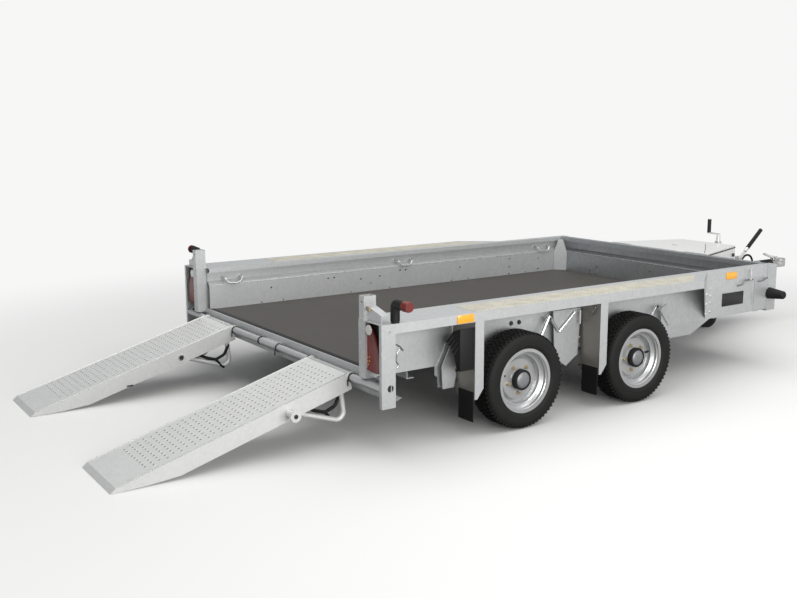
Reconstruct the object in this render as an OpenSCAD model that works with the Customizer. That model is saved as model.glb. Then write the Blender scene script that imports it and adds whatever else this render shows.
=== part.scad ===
/* [Bed] */
// Clear width between the side walls
bed_w = 1840; // [1700:10:2000]
// Length from the rear face of the posts to the inside of the front wall
bed_len = 3048; // [2700:4:3400]
// Height of the deck surface above the ground
deck_z = 374; // [360:2:400]
// Thickness of the plywood floor board
floor_t = 18; // [12:1:24]
// Height of the top of the side walls above the ground
wall_top_z = 632; // [610:2:680]
// Depth of the side wall section, inner face to outer face
wall_depth = 50; // [44:1:60]
// Thickness of the pressed sheet
sheet_t = 3; // [2:0.5:4]

/* [Running boards] */
// Width from the wall's outer face to the running board's edge
board_w = 185; // [160:5:220]
// Height of the running board's outer lip
board_lip = 46; // [30:1:60]
// Length of the running board along its outer edge
board_len = 2200; // [2100:10:2300]
// How much further forward the running board reaches at the wall
board_rake = 254; // [150:2:300]

/* [Rear end] */
// Height of the inner rear posts' top above the ground
post_top_z = 744; // [700:2:800]
// Height of the outer rear posts' foot above the ground
post_foot_z = 240; // [200:2:260]
// Radius of the ramp hinge bar
bar_r = 19; // [16:0.5:20]
// Height of the hinge bar's axis above the ground
bar_z = 329; // [320:1:336]

/* [Ramps] */
// Width of one ramp
ramp_w = 396; // [340:2:420]
// Distance from a ramp's outer side to the side wall
ramp_side_gap = 63; // [45:1:90]
// Horizontal reach of a lowered ramp behind the posts
ramp_reach = 1163; // [1120:1:1220]
// Depth of a ramp's folded side, measured upright
ramp_depth = 88; // [80:1:100]

/* [Wheels] */
// Outside radius of the tyre
tyre_r = 248; // [240:1:262]
// Section width of the tyre
tyre_w = 152; // [130:1:155]
// Outside radius of the rim flange
rim_r = 166; // [150:1:175]
// Distance from the side wall's outer face to the tyre's outer face
wheel_stand = 202; // [198:1:220]
// Position of the rear axle ahead of the posts
rear_axle_y = 856; // [840:1:870]
// Distance between the two axles
axle_gap = 830; // [810:1:850]

/* [Drawbar] */
// Distance from the posts to the coupling socket's centre
coupling_y = 4570; // [4480:5:4700]
// Height of the coupling socket's centre above the ground
coupling_z = 400; // [390:1:430]
// Radius of the coupling's ball socket
socket_r = 25.4; // [25:0.1:26]
// Radius of the jockey wheel
jockey_r = 100; // [90:1:110]

/* [Hidden] */
$fn = 64;

bed_x = bed_w / 2;
wall_x = bed_x + wall_depth;
board_x = wall_x + board_w;
wheel_face_x = wall_x + wheel_stand;
front_y = bed_len;
head_r = 42;
head_nose = 8;
nose_y = coupling_y + head_nose + head_r;
mid_y = (nose_y - ramp_reach) / 2;
wall_foot_z = 345;
front_face_y = front_y + wall_depth;

module place() {
    translate([0, -mid_y, 0]) children();
}

module block(x0, x1, y0, y1, z0, z1) {
    translate([x0, y0, z0]) cube([x1 - x0, y1 - y0, z1 - z0]);
}

// A flat shape in X and Z, drawn out along Y
module along_y(y0, y1) {
    translate([0, y1, 0]) rotate([90, 0, 0]) linear_extrude(y1 - y0) children();
}

// A flat shape in Y and Z, drawn out along X
module along_x(x0, x1) {
    translate([x0, 0, 0]) rotate([90, 0, 90]) linear_extrude(x1 - x0) children();
}

module rod_x(x0, x1, y, z, r) {
    translate([x0, y, z]) rotate([0, 90, 0]) cylinder(r = r, h = x1 - x0);
}

module both_sides() {
    children();
    mirror([1, 0, 0]) children();
}

module left_side() {
    mirror([1, 0, 0]) children();
}

// Strip of even thickness along a path
module strip(points, t) {
    for (i = [0 : len(points) - 2])
        translate(points[i])
            rotate(atan2(points[i + 1][1] - points[i][1], points[i + 1][0] - points[i][0]))
                translate([-t / 2, -t / 2])
                    square([norm(points[i + 1] - points[i]) + t, t]);
}

// Bed
sill_y = 62;
wall_rear_y = 66;
wall_front_y = bed_len - 7;
lip_in = 6;
lip_h = 28;
recess_d = 32;
recess_h = 50;
ledge_h = 24;

function wall_section(inset) = [
    [inset, wall_foot_z + inset],
    [wall_depth - inset, wall_foot_z + inset],
    [wall_depth - inset, wall_top_z - inset],
    [inset - lip_in, wall_top_z - inset],
    [inset - lip_in, wall_top_z - lip_h + inset],
    [recess_d + inset, wall_top_z - lip_h - 6 + inset],
    [recess_d + inset, wall_top_z - lip_h - 6 - recess_h - inset],
    [inset, wall_top_z - lip_h - 6 - recess_h - ledge_h - inset]];

module wall_shape() {
    difference() {
        polygon(wall_section(0));
        polygon(wall_section(sheet_t));
    }
}

module floor_board() {
    color("#4b4540")
        block(-bed_x, bed_x, sill_y, front_y, deck_z - floor_t, deck_z);
}

// Folded channel rails below the walls, cut up at both ends
rail_z = 268;
rail_y0 = 430;
rail_y1 = 2500;
rail_t = 4;

module chassis_rail() {
    difference() {
        union() {
            along_x(wall_x - rail_t, wall_x)
                polygon([[rail_y0, wall_foot_z], [rail_y0, wall_foot_z - 45], [rail_y0 + 40, rail_z],
                    [rail_y1 - 170, rail_z], [rail_y1, wall_foot_z]]);
            block(bed_x, wall_x - rail_t, rail_y0 + 40, rail_y1 - 170, rail_z, rail_z + rail_t);
            block(bed_x, wall_x - rail_t, rail_y0, rail_y1, wall_foot_z - rail_t, wall_foot_z);
        }
        for (y = axle_ys)
            block(bed_x - 5, wall_x + 5, y - beam_r - 8, y + beam_r + 8, rail_z - 5,
                axle_z + beam_r + 5);
    }
}

module chassis_rails() {
    color("#aab0b4") both_sides() chassis_rail();
}

// Folded bearers under the floor, shallower where the drawbar passes below
bearer_w = 40;
bearer_y0 = 300;
bearer_y1 = bed_len - 448;
bearer_gaps = 5;
bearers = concat([for (i = [0 : bearer_gaps])
    bearer_y0 + i * (bearer_y1 - bearer_y0) / bearer_gaps], [bed_len - 48]);
deep_bearer = 62;
shallow_bearer = 26;
floor_under_z = deck_z - floor_t;

module bearer(y, depth) {
    block(-bed_x, bed_x, y - 2, y + 2, floor_under_z - depth, floor_under_z - 4);
    block(-bed_x, bed_x, y - 2, y + bearer_w, floor_under_z - 4, floor_under_z);
    block(-bed_x, bed_x, y - 2, y + bearer_w, floor_under_z - depth - 4, floor_under_z - depth);
}

module crossmembers() {
    color("#9aa0a4")
        for (y = bearers)
            bearer(y, y + bearer_w > arm_y0 ? shallow_bearer : deep_bearer);
}

module side_walls() {
    color("#b4babd") both_sides()
        along_y(wall_rear_y, wall_front_y) translate([bed_x, 0]) wall_shape();
}

module front_wall() {
    color("#a9afb3")
        along_x(-bed_x, bed_x) translate([front_y, 0]) wall_shape();
}

// Square tube corners with a stiffener on the outer face and a folded inner gusset
corner_y1 = front_y + 80;
corner_x = wall_x + 8;
corner_foot_z = 336;
stiffener_w = 125;
gusset_reach = 73;
gusset_top_z = wall_top_z - 17;
gusset_side_z = wall_top_z - 114;
weld_gap = 0.3;

module corner_post() {
    difference() {
        block(bed_x, corner_x, wall_front_y, corner_y1, corner_foot_z, wall_top_z - 2);
        block(bed_x + sheet_t, corner_x - sheet_t, wall_front_y + sheet_t,
            corner_y1 - sheet_t, corner_foot_z - 6, wall_top_z - 5);
    }
    block(wall_x, wall_x + 6, wall_front_y - stiffener_w, wall_front_y, wall_foot_z + 5,
        wall_top_z - 67);
}

module corner_gusset() {
    half = gusset_reach * sqrt(2) / 2 - sheet_t / 2 - weld_gap;
    translate([bed_x - gusset_reach / 2, front_y - gusset_reach / 2, 0])
        rotate([90, 0, -45])
            translate([0, 0, -1.5]) linear_extrude(sheet_t)
                polygon([[-half, deck_z], [half, deck_z], [half, gusset_side_z],
                    [18, gusset_top_z], [-18, gusset_top_z], [-half, gusset_side_z]]);
}

module front_corner_posts() {
    color("#b0b6ba") both_sides() {
        corner_post();
        corner_gusset();
    }
}

// Running boards over the wheels
board_z = wall_top_z - sheet_t;
lip_z = wall_top_z - board_lip;
post_d = 76;

module running_board() {
    translate([0, 0, board_z]) linear_extrude(sheet_t)
        polygon([[inner_post_x1 + weld_gap, 0], [board_x, 0], [board_x, board_len],
            [wall_x, board_len + board_rake], [wall_x, wall_rear_y],
            [inner_post_x1 + weld_gap, wall_rear_y]]);
    block(board_x - sheet_t, board_x, post_d, board_len, lip_z, board_z);
    block(wall_x, wall_x + sheet_t, wall_rear_y, board_len + board_rake - 10,
        board_z - 20, board_z);
}

module running_boards() {
    color("#c3c7c8") both_sides() running_board();
}

strip_y0 = 552;
strip_y1 = board_len;
strip_x0 = wall_x + 6;
strip_x1 = board_x - 24;

module tread_strips() {
    color("#d9d4bf") both_sides()
        translate([0, 0, wall_top_z]) linear_extrude(1.5)
            polygon([[strip_x0, strip_y0], [strip_x1, strip_y0], [strip_x1, strip_y1 - 60],
                [strip_x0, strip_y1 + 140]]);
}

// Splash plates behind each wheel and a raked one ahead of the front wheel
plate_ys = [536, 1377];
plate_foot_z = 200;
plate_x0 = wall_x + 8;
flange_w = 54;

module splash_plate(y) {
    along_y(y, y + sheet_t)
        polygon([[plate_x0, board_z], [board_x - sheet_t, board_z],
            [board_x - sheet_t, plate_foot_z], [wall_x + 44, plate_foot_z],
            [wall_x + 44, 350], [plate_x0, 350]]);
    along_x(board_x - sheet_t, board_x)
        polygon([[y, lip_z], [y, plate_foot_z], [y + 16, plate_foot_z],
            [y + flange_w, plate_foot_z + 50], [y + flange_w, lip_z]]);
}

module raked_plate() {
    turn = atan2(board_rake, board_w);
    run = (board_w - sheet_t) / cos(turn);
    translate([wall_x + sheet_t, board_len + board_rake, 0])
        rotate([90, 0, -turn])
            linear_extrude(sheet_t)
                polygon([[0, wall_foot_z + 8], [run - 2, lip_z], [run - 2, board_z],
                    [0, board_z]]);
}

module mudguard_plates() {
    color("#b7bcbf") both_sides() {
        for (y = plate_ys) splash_plate(y);
        raked_plate();
    }
}

module mudflaps() {
    color("#1c1c1d") both_sides()
        for (y = plate_ys)
            block(wall_x + 62, board_x - 8, y - 4, y, 85, plate_foot_z + 36);
}

reflector_w = 100;
rear_reflector_y = 425;
front_reflector_y = board_len + board_rake + 183;

module side_reflectors() {
    color("#f39a1c") both_sides() {
        block(board_x, board_x + 4, rear_reflector_y, rear_reflector_y + reflector_w, lip_z + 3,
            wall_top_z - 3);
        block(wall_x, wall_x + 4, front_reflector_y, front_reflector_y + reflector_w,
            wall_top_z - 60, wall_top_z - 18);
    }
}

// Black wedge carried against the first splash plate, right side only
chock_y1 = plate_ys[0] - weld_gap;
chock_y0 = chock_y1 - 88;
chock_out = board_x - sheet_t - 3;

module wheel_chock() {
    chock_in = hanger_face_x + weld_gap;
    color("#161617")
        along_y(chock_y0, chock_y1)
            polygon([[chock_in, 466], [chock_in + 84, 548], [chock_out, 560], [chock_out, 342],
                [chock_in + 44, 330], [chock_in, 380]]);
}

// Rear end
post_hole_y = 48;
post_hole_z = 333;
post_hole_r = 17;
web_y = 52;
web_z0 = 268;
web_z1 = deck_z - floor_t;
flange_y1 = 130;
bar_y = 18;

post_fold = 20;

module outer_post() {
    difference() {
        union() {
            block(board_x - sheet_t, board_x, 0, post_d, post_foot_z, board_z);
            block(board_x - post_fold, board_x - sheet_t, 0, sheet_t, post_foot_z, board_z);
        }
        rod_x(board_x - 10, board_x + 10, post_hole_y, post_hole_z, post_hole_r);
    }
}

module outer_rear_posts() {
    color("#c6cacb") both_sides() outer_post();
}

inner_post_x0 = wall_x - 10;
inner_post_x1 = wall_x + 45;
inner_post_d = 65;
hood_y = 20;
hood_x1 = board_x - 30;
hood_z0 = wall_top_z + 65;
hood_z1 = wall_top_z + 36;
latch_hole_r = 7;
latch_hole_z = 714;

module inner_post() {
    difference() {
        union() {
            block(inner_post_x0, inner_post_x1, 0, inner_post_d, web_z1, wall_top_z);
            block(inner_post_x0 + 6, inner_post_x1 - 5, 0, inner_post_d, wall_top_z, post_top_z);
        }
        block(inner_post_x0 + 6 + sheet_t, inner_post_x1 - 5 - sheet_t, sheet_t,
            inner_post_d - sheet_t, web_z1 - 5, post_top_z + 5);
        translate([(inner_post_x0 + inner_post_x1) / 2, -5, latch_hole_z])
            rotate([-90, 0, 0]) cylinder(r = latch_hole_r, h = inner_post_d + 10);
    }
}

// Sloping plate above the tail lamp, folded forward along its top
module lamp_hood() {
    x0 = inner_post_x1 - 6;
    along_y(hood_y, hood_y + sheet_t)
        polygon([[x0, wall_top_z + weld_gap], [x0, hood_z0], [hood_x1, hood_z1],
            [hood_x1, wall_top_z + weld_gap]]);
    along_y(hood_y + 1, inner_post_d - 1)
        polygon([[x0, hood_z0 - sheet_t], [x0, hood_z0], [hood_x1, hood_z1],
            [hood_x1, hood_z1 - sheet_t]]);
}

module inner_rear_posts() {
    color("#c2c6c8") both_sides() {
        inner_post();
        lamp_hood();
    }
}

module rear_crossmember() {
    web_x = board_x - sheet_t;
    color("#b3b9bc") {
        block(-web_x, web_x, web_y, web_y + 4, web_z0, web_z1);
        translate([0, 0, web_z0]) linear_extrude(4)
            polygon([[-web_x, web_y + 4], [web_x, web_y + 4], [web_x, post_d],
                [web_x - 30, flange_y1], [30 - web_x, flange_y1], [-web_x, post_d]]);
        translate([0, 0, web_z1 - 4]) linear_extrude(4)
            polygon([[-web_x, web_y + 4], [web_x, web_y + 4], [web_x, wall_rear_y - weld_gap],
                [bed_x - weld_gap, wall_rear_y - weld_gap], [bed_x - weld_gap, flange_y1],
                [weld_gap - bed_x, flange_y1], [weld_gap - bed_x, wall_rear_y - weld_gap],
                [-web_x, wall_rear_y - weld_gap]]);
        block(-inner_post_x0, inner_post_x0, web_y, sill_y, web_z1 - 1, deck_z + 2);
    }
}

bar_end_x = board_x - post_fold - weld_gap;
bracket_x = 85;

module ramp_bar() {
    color("#bfc4c6") {
        difference() {
            rod_x(-bar_end_x, bar_end_x, bar_y, bar_z, bar_r);
            rod_x(-bar_end_x - 5, bar_end_x + 5, bar_y, bar_z, bar_r - 4);
        }
        difference() {
            union() {
                rod_x(-bracket_x, bracket_x, bar_y, bar_z, bar_r + 4);
                block(-bracket_x, bracket_x, bar_y, web_y, bar_z - 44, bar_z + 18);
                both_sides()
                    block(inner_post_x1 + 8, inner_post_x1 + 20, bar_y, web_y,
                        bar_z - 19, bar_z + 19);
            }
            rod_x(-bar_end_x, bar_end_x, bar_y, bar_z, bar_r - 1);
        }
    }
}

// Lamps
lamp_y = 28;

module tail_lamp_housings() {
    color("#202122") both_sides()
        block(inner_post_x1 + 1, board_x - sheet_t, lamp_y, 70, wall_top_z - 244, wall_top_z - 10);
}

module tail_lamp_lens() {
    along_y(14, lamp_y) translate([inner_post_x1, wall_top_z])
        polygon([[3, -212], [3, -36], [11, -21], [25, -16], [39, -26], [61, -72], [89, -132],
            [103, -177], [105, -207], [93, -228], [21, -230]]);
}

module tail_lamp_lenses() {
    color("#8f2420") both_sides() tail_lamp_lens();
}

rear_arm_x = board_x - 21;
rear_arm_y = 88;
rear_arm_z = wall_top_z + 89;
rear_arm_reach = 62;
marker_w = 56;
front_arm_y = corner_y1 - 58;
front_arm_z = wall_top_z - 184;

module rear_marker_arm() {
    translate([rear_arm_x, rear_arm_y, wall_top_z]) {
        cylinder(r = 20.5, h = 12);
        cylinder(r = 18, h = rear_arm_z - wall_top_z);
    }
    translate([rear_arm_x, rear_arm_y, rear_arm_z]) sphere(r = 21);
    rod_x(rear_arm_x, rear_arm_x + rear_arm_reach, rear_arm_y, rear_arm_z, 20);
}

module front_marker_arm() {
    translate([corner_x, front_arm_y, front_arm_z]) rotate([0, 90, 0]) {
        cylinder(r = 36, h = 10);
        cylinder(r1 = 34, r2 = 23, h = 122);
    }
}

module marker_arms() {
    color("#17181a") both_sides() {
        rear_marker_arm();
        front_marker_arm();
    }
}

module marker_lenses() {
    color("#b0302a") both_sides()
        rod_x(rear_arm_x + rear_arm_reach, rear_arm_x + rear_arm_reach + marker_w, rear_arm_y,
            rear_arm_z, 24);
}

// Fastening points for loads
ring_ys = [231, bed_len / 2 + 27, bed_len - 186];
ring_z = wall_top_z - 66;
ring_arm = 43;
deck_plate_ys = [110, bed_len - 198];

module lashing_ring(y) {
    x0 = bed_x + 6;
    translate([x0, y - ring_arm - 7, ring_z]) rotate([-90, 0, 0])
        cylinder(r = 5, h = 2 * (ring_arm + 7));
    for (end = [y - ring_arm, y + ring_arm])
        rod_x(x0, bed_x + recess_d, end, ring_z, 4.5);
}

module deck_plate(y) {
    block(bed_x - 130, bed_x - 40, y, y + 100, deck_z, deck_z + 3);
    translate([bed_x - 85, y + 50, deck_z + 2]) difference() {
        cylinder(r = 34, h = 8);
        translate([0, 0, 1]) cylinder(r = 24, h = 8);
    }
    block(bed_x - 95, bed_x - 75, y + 6, y + 34, deck_z + 2, deck_z + 14);
}

module lashing_rings() {
    color("#cfd2d3") both_sides() {
        for (y = ring_ys) lashing_ring(y);
        for (y = deck_plate_ys) deck_plate(y);
    }
}

// Places of the upright rope hooks: base, distance from the posts, foot height
spring_x0 = wall_x + 6;
spring_x1 = wall_x + 38;
hanger_face_x = spring_x1 + 6;
hooks = [[hanger_face_x, 1345, 470], [wall_x, bed_len - 198, 560]];
hook_h = 60;
hook_out = 22;

module rope_hook(base, y, z) {
    x = base + hook_out;
    translate([x, y, z - 7]) cylinder(r = 5, h = hook_h + 14);
    for (end = [z, z + hook_h])
        rod_x(base, x, y, end, 4.5);
}

module rope_hooks() {
    color("#c9cdce") both_sides() {
        for (hook = hooks) rope_hook(hook[0], hook[1], hook[2]);
    }
}

// Running gear
front_axle_y = rear_axle_y + axle_gap;
axle_ys = [rear_axle_y, front_axle_y];
axle_z = tyre_r;
spring_half = 356;
eye_z = 316;
spring_sag = 15;
leaf_t = 8;
pin_r = 8;
eye_r = 14;

// Shares of the half length at which the second and third leaf end
leaf_ends = [0.72, 0.45];

function leaf_z(s) = eye_z - spring_sag * (1 - s * s);

module leaf_stack(y) {
    steps = 12;
    low = [[-1, 1], [-leaf_ends[0], 1], [-leaf_ends[0], 2], [-leaf_ends[1], 2],
        [-leaf_ends[1], 3], [0, 3], [leaf_ends[1], 3], [leaf_ends[1], 2],
        [leaf_ends[0], 2], [leaf_ends[0], 1], [1, 1]];
    along_x(spring_x0, spring_x1)
        polygon(concat(
            [for (i = [0 : steps]) let(s = 1 - 2 * i / steps)
                [y + s * spring_half, leaf_z(s) + leaf_t / 2]],
            [for (p = low)
                [y + p[0] * spring_half, leaf_z(p[0]) + leaf_t / 2 - leaf_t * p[1]]]));
}

module leaf_spring(y) {
    difference() {
        union() {
            leaf_stack(y);
            for (end = [y - spring_half, y + spring_half])
                rod_x(spring_x0, spring_x1, end, eye_z, eye_r);
        }
        for (end = [y - spring_half, y + spring_half])
            rod_x(spring_x0 - 1, spring_x1 + 1, end, eye_z, pin_r + 0.1);
    }
}

module leaf_springs() {
    color("#5a5d60") both_sides() for (y = axle_ys) leaf_spring(y);
}

module hanger(shape, pins) {
    for (x = [wall_x, spring_x1 + 1])
        along_x(x, x + 5) polygon(shape);
    for (y = pins)
        rod_x(wall_x, hanger_face_x, y, eye_z, pin_r);
}

module spring_hangers() {
    rear_y = rear_axle_y - spring_half;
    mid_y0 = rear_axle_y + spring_half;
    mid_y1 = front_axle_y - spring_half;
    fore_y = front_axle_y + spring_half;
    color("#b9bfc2") both_sides() {
        hanger([[rear_y - 60, eye_z + 30], [rear_y - 2, eye_z + 139], [rear_y + 12, eye_z + 139],
            [rear_y + 28, eye_z - 26], [rear_y + 16, eye_z - 80], [rear_y - 52, eye_z - 80]],
            [rear_y]);
        hanger([[mid_y0 - 40, eye_z + 229], [mid_y1 + 40, eye_z + 229],
            [mid_y1 + 24, eye_z - 26], [(mid_y0 + mid_y1) / 2, eye_z - 80],
            [mid_y0 - 24, eye_z - 26]], [mid_y0, mid_y1]);
        hanger([[fore_y - 28, eye_z + 154], [fore_y + 12, eye_z + 174],
            [fore_y + 80, eye_z - 16], [fore_y - 28, eye_z - 26]], [fore_y]);
    }
}

stub_r = 20;
stub_x = wheel_face_x - 44;
beam_r = 28;

module axle(y) {
    rod_x(-wall_x - 44, wall_x + 44, y, axle_z, beam_r);
    both_sides() {
        rod_x(wall_x + 40, stub_x, y, axle_z, stub_r);
        block(wall_x + 2, wall_x + 42, y - 45, y + 45, axle_z + beam_r - 6,
            eye_z - spring_sag - leaf_t * 2.5);
    }
}

module axles() {
    color("#7b7f82") for (y = axle_ys) axle(y);
}

// Wheels, drawn about the X axis at their own centre
rim_face_x = wheel_face_x - 10;
rim_back_x = wheel_face_x - tyre_w + 14;
flange_t = 4;
bead_gap = 0.3;
bead_r = rim_r - 13;
disc_x = wheel_face_x - 72;

module turned(y) {
    translate([0, y, axle_z]) rotate([90, 0, 90]) rotate_extrude($fn = 96) children();
}

module tyre_section() {
    face = wheel_face_x;
    back = wheel_face_x - tyre_w;
    inner_bead = rim_back_x + flange_t + 2 + bead_gap;
    outer_bead = rim_face_x - flange_t - 2 - bead_gap;
    difference() {
        polygon([[bead_r + bead_gap, inner_bead], [rim_r + bead_gap, inner_bead],
            [rim_r + bead_gap, back + 12], [rim_r + 22, back + 1], [rim_r + 45, back],
            [tyre_r - 16, back + 6], [tyre_r - 4, back + 16], [tyre_r, back + 40],
            [tyre_r, face - 40], [tyre_r - 4, face - 16], [tyre_r - 16, face - 6],
            [rim_r + 45, face], [rim_r + 22, face - 1], [rim_r + bead_gap, face - 9],
            [rim_r + bead_gap, outer_bead], [bead_r + bead_gap, outer_bead]]);
        polygon([[bead_r - 5, inner_bead + 12], [rim_r + 22, back + 12],
            [tyre_r - 18, back + 16], [tyre_r - 12, back + 40], [tyre_r - 12, face - 40],
            [tyre_r - 18, face - 16], [rim_r + 22, face - 12], [bead_r - 5, outer_bead - 12]]);
    }
}

module rim_section() {
    polygon([[rim_r, rim_back_x], [rim_r, rim_back_x + flange_t], [bead_r, rim_back_x + 6],
        [bead_r, rim_back_x + 26], [bead_r - 18, rim_back_x + 36],
        [bead_r - 18, rim_face_x - 48], [bead_r, rim_face_x - 34],
        [bead_r, rim_face_x - 6], [rim_r, rim_face_x - flange_t], [rim_r, rim_face_x],
        [bead_r - 4, rim_face_x], [bead_r - 4, rim_face_x - 32],
        [bead_r - 22, rim_face_x - 46], [bead_r - 22, rim_back_x + 34],
        [bead_r - 4, rim_back_x + 24], [bead_r - 4, rim_back_x]]);
}

module disc_section() {
    polygon([[48, disc_x], [48, disc_x + 6], [98, disc_x + 6], [116, disc_x - 14],
        [bead_r - 20, disc_x - 18], [bead_r - 20, disc_x - 24], [112, disc_x - 20],
        [95, disc_x]]);
}

module hub_section() {
    polygon([[stub_r + 0.05, disc_x - 62], [104, disc_x - 62], [104, disc_x - 24],
        [70, disc_x - 24], [70, disc_x], [50, disc_x], [50, disc_x + 18],
        [43, disc_x + 22], [43, stub_x + 10], [38, stub_x + 14], [0, stub_x + 14],
        [0, stub_x + 4], [stub_r + 0.05, stub_x + 4]]);
}

module tyre(y) {
    color("#232324") turned(y) tyre_section();
}

module rim(y) {
    color("#b9bbbc") {
        turned(y) rim_section();
        turned(y) disc_section();
        turned(y) hub_section();
    }
}

// Ramps, drawn lowered to the ground behind the bed
ramp_top_z = 352;
ramp_toe_h = 22;
ramp_y1 = 6;
ramp_x1 = bed_x - ramp_side_gap;
ramp_inner_x = ramp_x1 - ramp_w;
ramp_slope = (ramp_top_z - ramp_toe_h) / (ramp_reach - 25 + ramp_y1);
sleeve_r = bar_r + 3.5;
lug_r = sleeve_r + 4;
tube_y = -318;
tube_z = 207;
tube_end_x = ramp_x1 + 70;
prop_r = 13;
prop_inset = 34;
prop_heel = [-2, 104];
prop_bend = 36;
bend_lap = 4;
bend_swell = 0.6;
prop_rung = [-180, 162];

function ramp_top(y) = ramp_top_z + ramp_slope * (y - ramp_y1);

prop_head_y = -30;
prop_head = [prop_head_y, ramp_top(prop_head_y) - sheet_t + 0.2];

module ramp_side_shape() {
    difference() {
        union() {
            polygon([[-ramp_reach, 0], [-ramp_reach + 25, ramp_toe_h], [ramp_y1, ramp_top_z],
                [23, ramp_top(23) - ramp_depth], [-850, ramp_top(-850) - ramp_depth],
                [-1000, 4]]);
            translate([bar_y, bar_z]) circle(r = lug_r);
        }
        translate([bar_y, bar_z]) circle(r = sleeve_r + 0.05);
    }
}

module ramp_skin() {
    along_x(ramp_inner_x, ramp_x1)
        polygon([[-ramp_reach, 0], [-ramp_reach + 25, ramp_toe_h], [ramp_y1 - 12, ramp_top(ramp_y1 - 12)],
            [ramp_y1 - 12, ramp_top(ramp_y1 - 12) - sheet_t],
            [-ramp_reach + 27, ramp_toe_h - 4], [-ramp_reach + 4, 0]]);
}

function unit(v) = v / norm(v);

// Round rod between two points in Y and Z
module rod_yz(a, b, r) {
    translate([0, a[0], a[1]]) rotate([-atan2(b[0] - a[0], b[1] - a[1]), 0, 0])
        cylinder(r = r, h = norm(b - a));
}

// Round prop bent at its heel, from the cross tube to the ramp's underside
module prop_leg() {
    foot = [tube_y, tube_z];
    back = unit(prop_heel - foot);
    up = unit(prop_head - prop_heel);
    start = atan2(back[1], back[0]) - 90;
    turn = atan2(up[1], up[0]) - atan2(back[1], back[0]);
    cut = prop_bend * tan(turn / 2);
    centre = prop_heel - back * cut + prop_bend * [-back[1], back[0]];
    rod_yz(foot, prop_heel - back * (cut - bend_lap), prop_r);
    rod_yz(prop_heel + up * (cut - bend_lap), prop_head, prop_r);
    translate([0, centre[0], centre[1]]) rotate([90, 0, 90]) rotate([0, 0, start])
        rotate_extrude(angle = turn) translate([prop_bend, 0]) circle(r = prop_r + bend_swell);
}

module ramp() {
    for (x = [ramp_inner_x, ramp_x1 - sheet_t])
        along_x(x, x + sheet_t) ramp_side_shape();
    ramp_skin();
    rod_x(ramp_inner_x, tube_end_x, tube_y, tube_z, 16);
    rod_x(tube_end_x - 14, tube_end_x, tube_y, tube_z, 27);
    for (x = [ramp_inner_x + prop_inset, ramp_x1 - prop_inset])
        translate([x, 0, 0]) prop_leg();
    rod_x(ramp_inner_x + prop_inset, ramp_x1 - prop_inset, prop_rung[0], prop_rung[1], prop_r - 2);
}

module ramp_sleeve() {
    difference() {
        rod_x(ramp_inner_x - 6, ramp_x1 + 6, bar_y, bar_z, sleeve_r);
        rod_x(ramp_inner_x - 10, ramp_x1 + 10, bar_y, bar_z, bar_r + 0.05);
    }
}

// Drawbar
arm_y0 = bed_len - 848;
arm_y1 = coupling_y - 380;
arm_x0 = bed_x - 200;
arm_nose_x = 43.4;
arm_slope = (arm_x0 - arm_nose_x) / (arm_y1 - arm_y0);
arm_z0 = 246;
arm_z1 = 326;
jockey_x = 50;
jockey_y = coupling_y - 840;
plate_y0 = coupling_y - 880;
plate_y1 = coupling_y - 430;
plate_nose_x = 90;
tube_r = 24;
nose_plate_z = arm_z1 + 8;

function arm_x(y) = arm_x0 - arm_slope * (y - arm_y0);

module drawbar_arm() {
    translate([0, 0, arm_z0]) linear_extrude(arm_z1 - arm_z0)
        polygon([[arm_x(arm_y0) - 25, arm_y0], [arm_x(arm_y0) + 25, arm_y0],
            [arm_x(arm_y1) + 25, arm_y1], [arm_x(arm_y1) - 25, arm_y1]]);
}

module drawbar_frame() {
    color("#a4aaae") {
        difference() {
            both_sides() drawbar_arm();
            both_sides() translate([0, 0, arm_z0 + 4]) linear_extrude(arm_z1 - arm_z0 - 8)
                polygon([[arm_x(arm_y0) - 30, arm_y0 - 5], [arm_x(arm_y0) + 20, arm_y0 - 5],
                    [arm_x(arm_y1) + 20, arm_y1 + 5], [arm_x(arm_y1) - 30, arm_y1 + 5]]);
        }
        difference() {
            translate([0, 0, arm_z1]) linear_extrude(8)
                polygon([[-arm_x(plate_y0) - 25, plate_y0], [arm_x(plate_y0) + 25, plate_y0],
                    [plate_nose_x, plate_y1], [plate_nose_x, gaiter_y0],
                    [-plate_nose_x, gaiter_y0], [-plate_nose_x, plate_y1]]);
            translate([jockey_x, jockey_y, arm_z1 - 1]) cylinder(r = tube_r + 0.05, h = 10);
        }
        difference() {
            translate([jockey_x, jockey_y, nose_plate_z]) cylinder(r = tube_r + 8, h = 60);
            translate([jockey_x, jockey_y, nose_plate_z - 1]) cylinder(r = tube_r + 0.05, h = 62);
        }
    }
}

box_y0 = front_face_y + 20;
box_y1 = jockey_y - 52;
box_x0 = 435;
box_x1 = 244;
box_top_z = 624;
lid_h = 10;
seat_gap = 0.3;
lid_pin_y = box_y0 - 7;
lid_pin_z = box_top_z + 5;
lid_pin_r = 4;

module box_plan(inset) {
    polygon([[inset - box_x0, box_y0 + inset], [box_x0 - inset, box_y0 + inset],
        [box_x1 - inset, box_y1 - inset], [inset - box_x1, box_y1 - inset]]);
}

module lid_bracket() {
    along_x(150, 156)
        polygon([[box_y0 + 1, box_top_z - 30], [lid_pin_y - 6, box_top_z - 4],
            [lid_pin_y - 6, lid_pin_z + 4], [lid_pin_y + 4, lid_pin_z + 4],
            [lid_pin_y + 4, box_top_z - 1], [box_y0 + 1, box_top_z - 1]]);
}

module toolbox() {
    color("#b6bbbd") {
        difference() {
            translate([0, 0, arm_z1]) linear_extrude(box_top_z - arm_z1) box_plan(0);
            translate([0, 0, arm_z1 + sheet_t]) linear_extrude(box_top_z) box_plan(sheet_t);
        }
        both_sides() lid_bracket();
        rod_x(-250, 250, lid_pin_y, lid_pin_z, lid_pin_r);
    }
}

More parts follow.
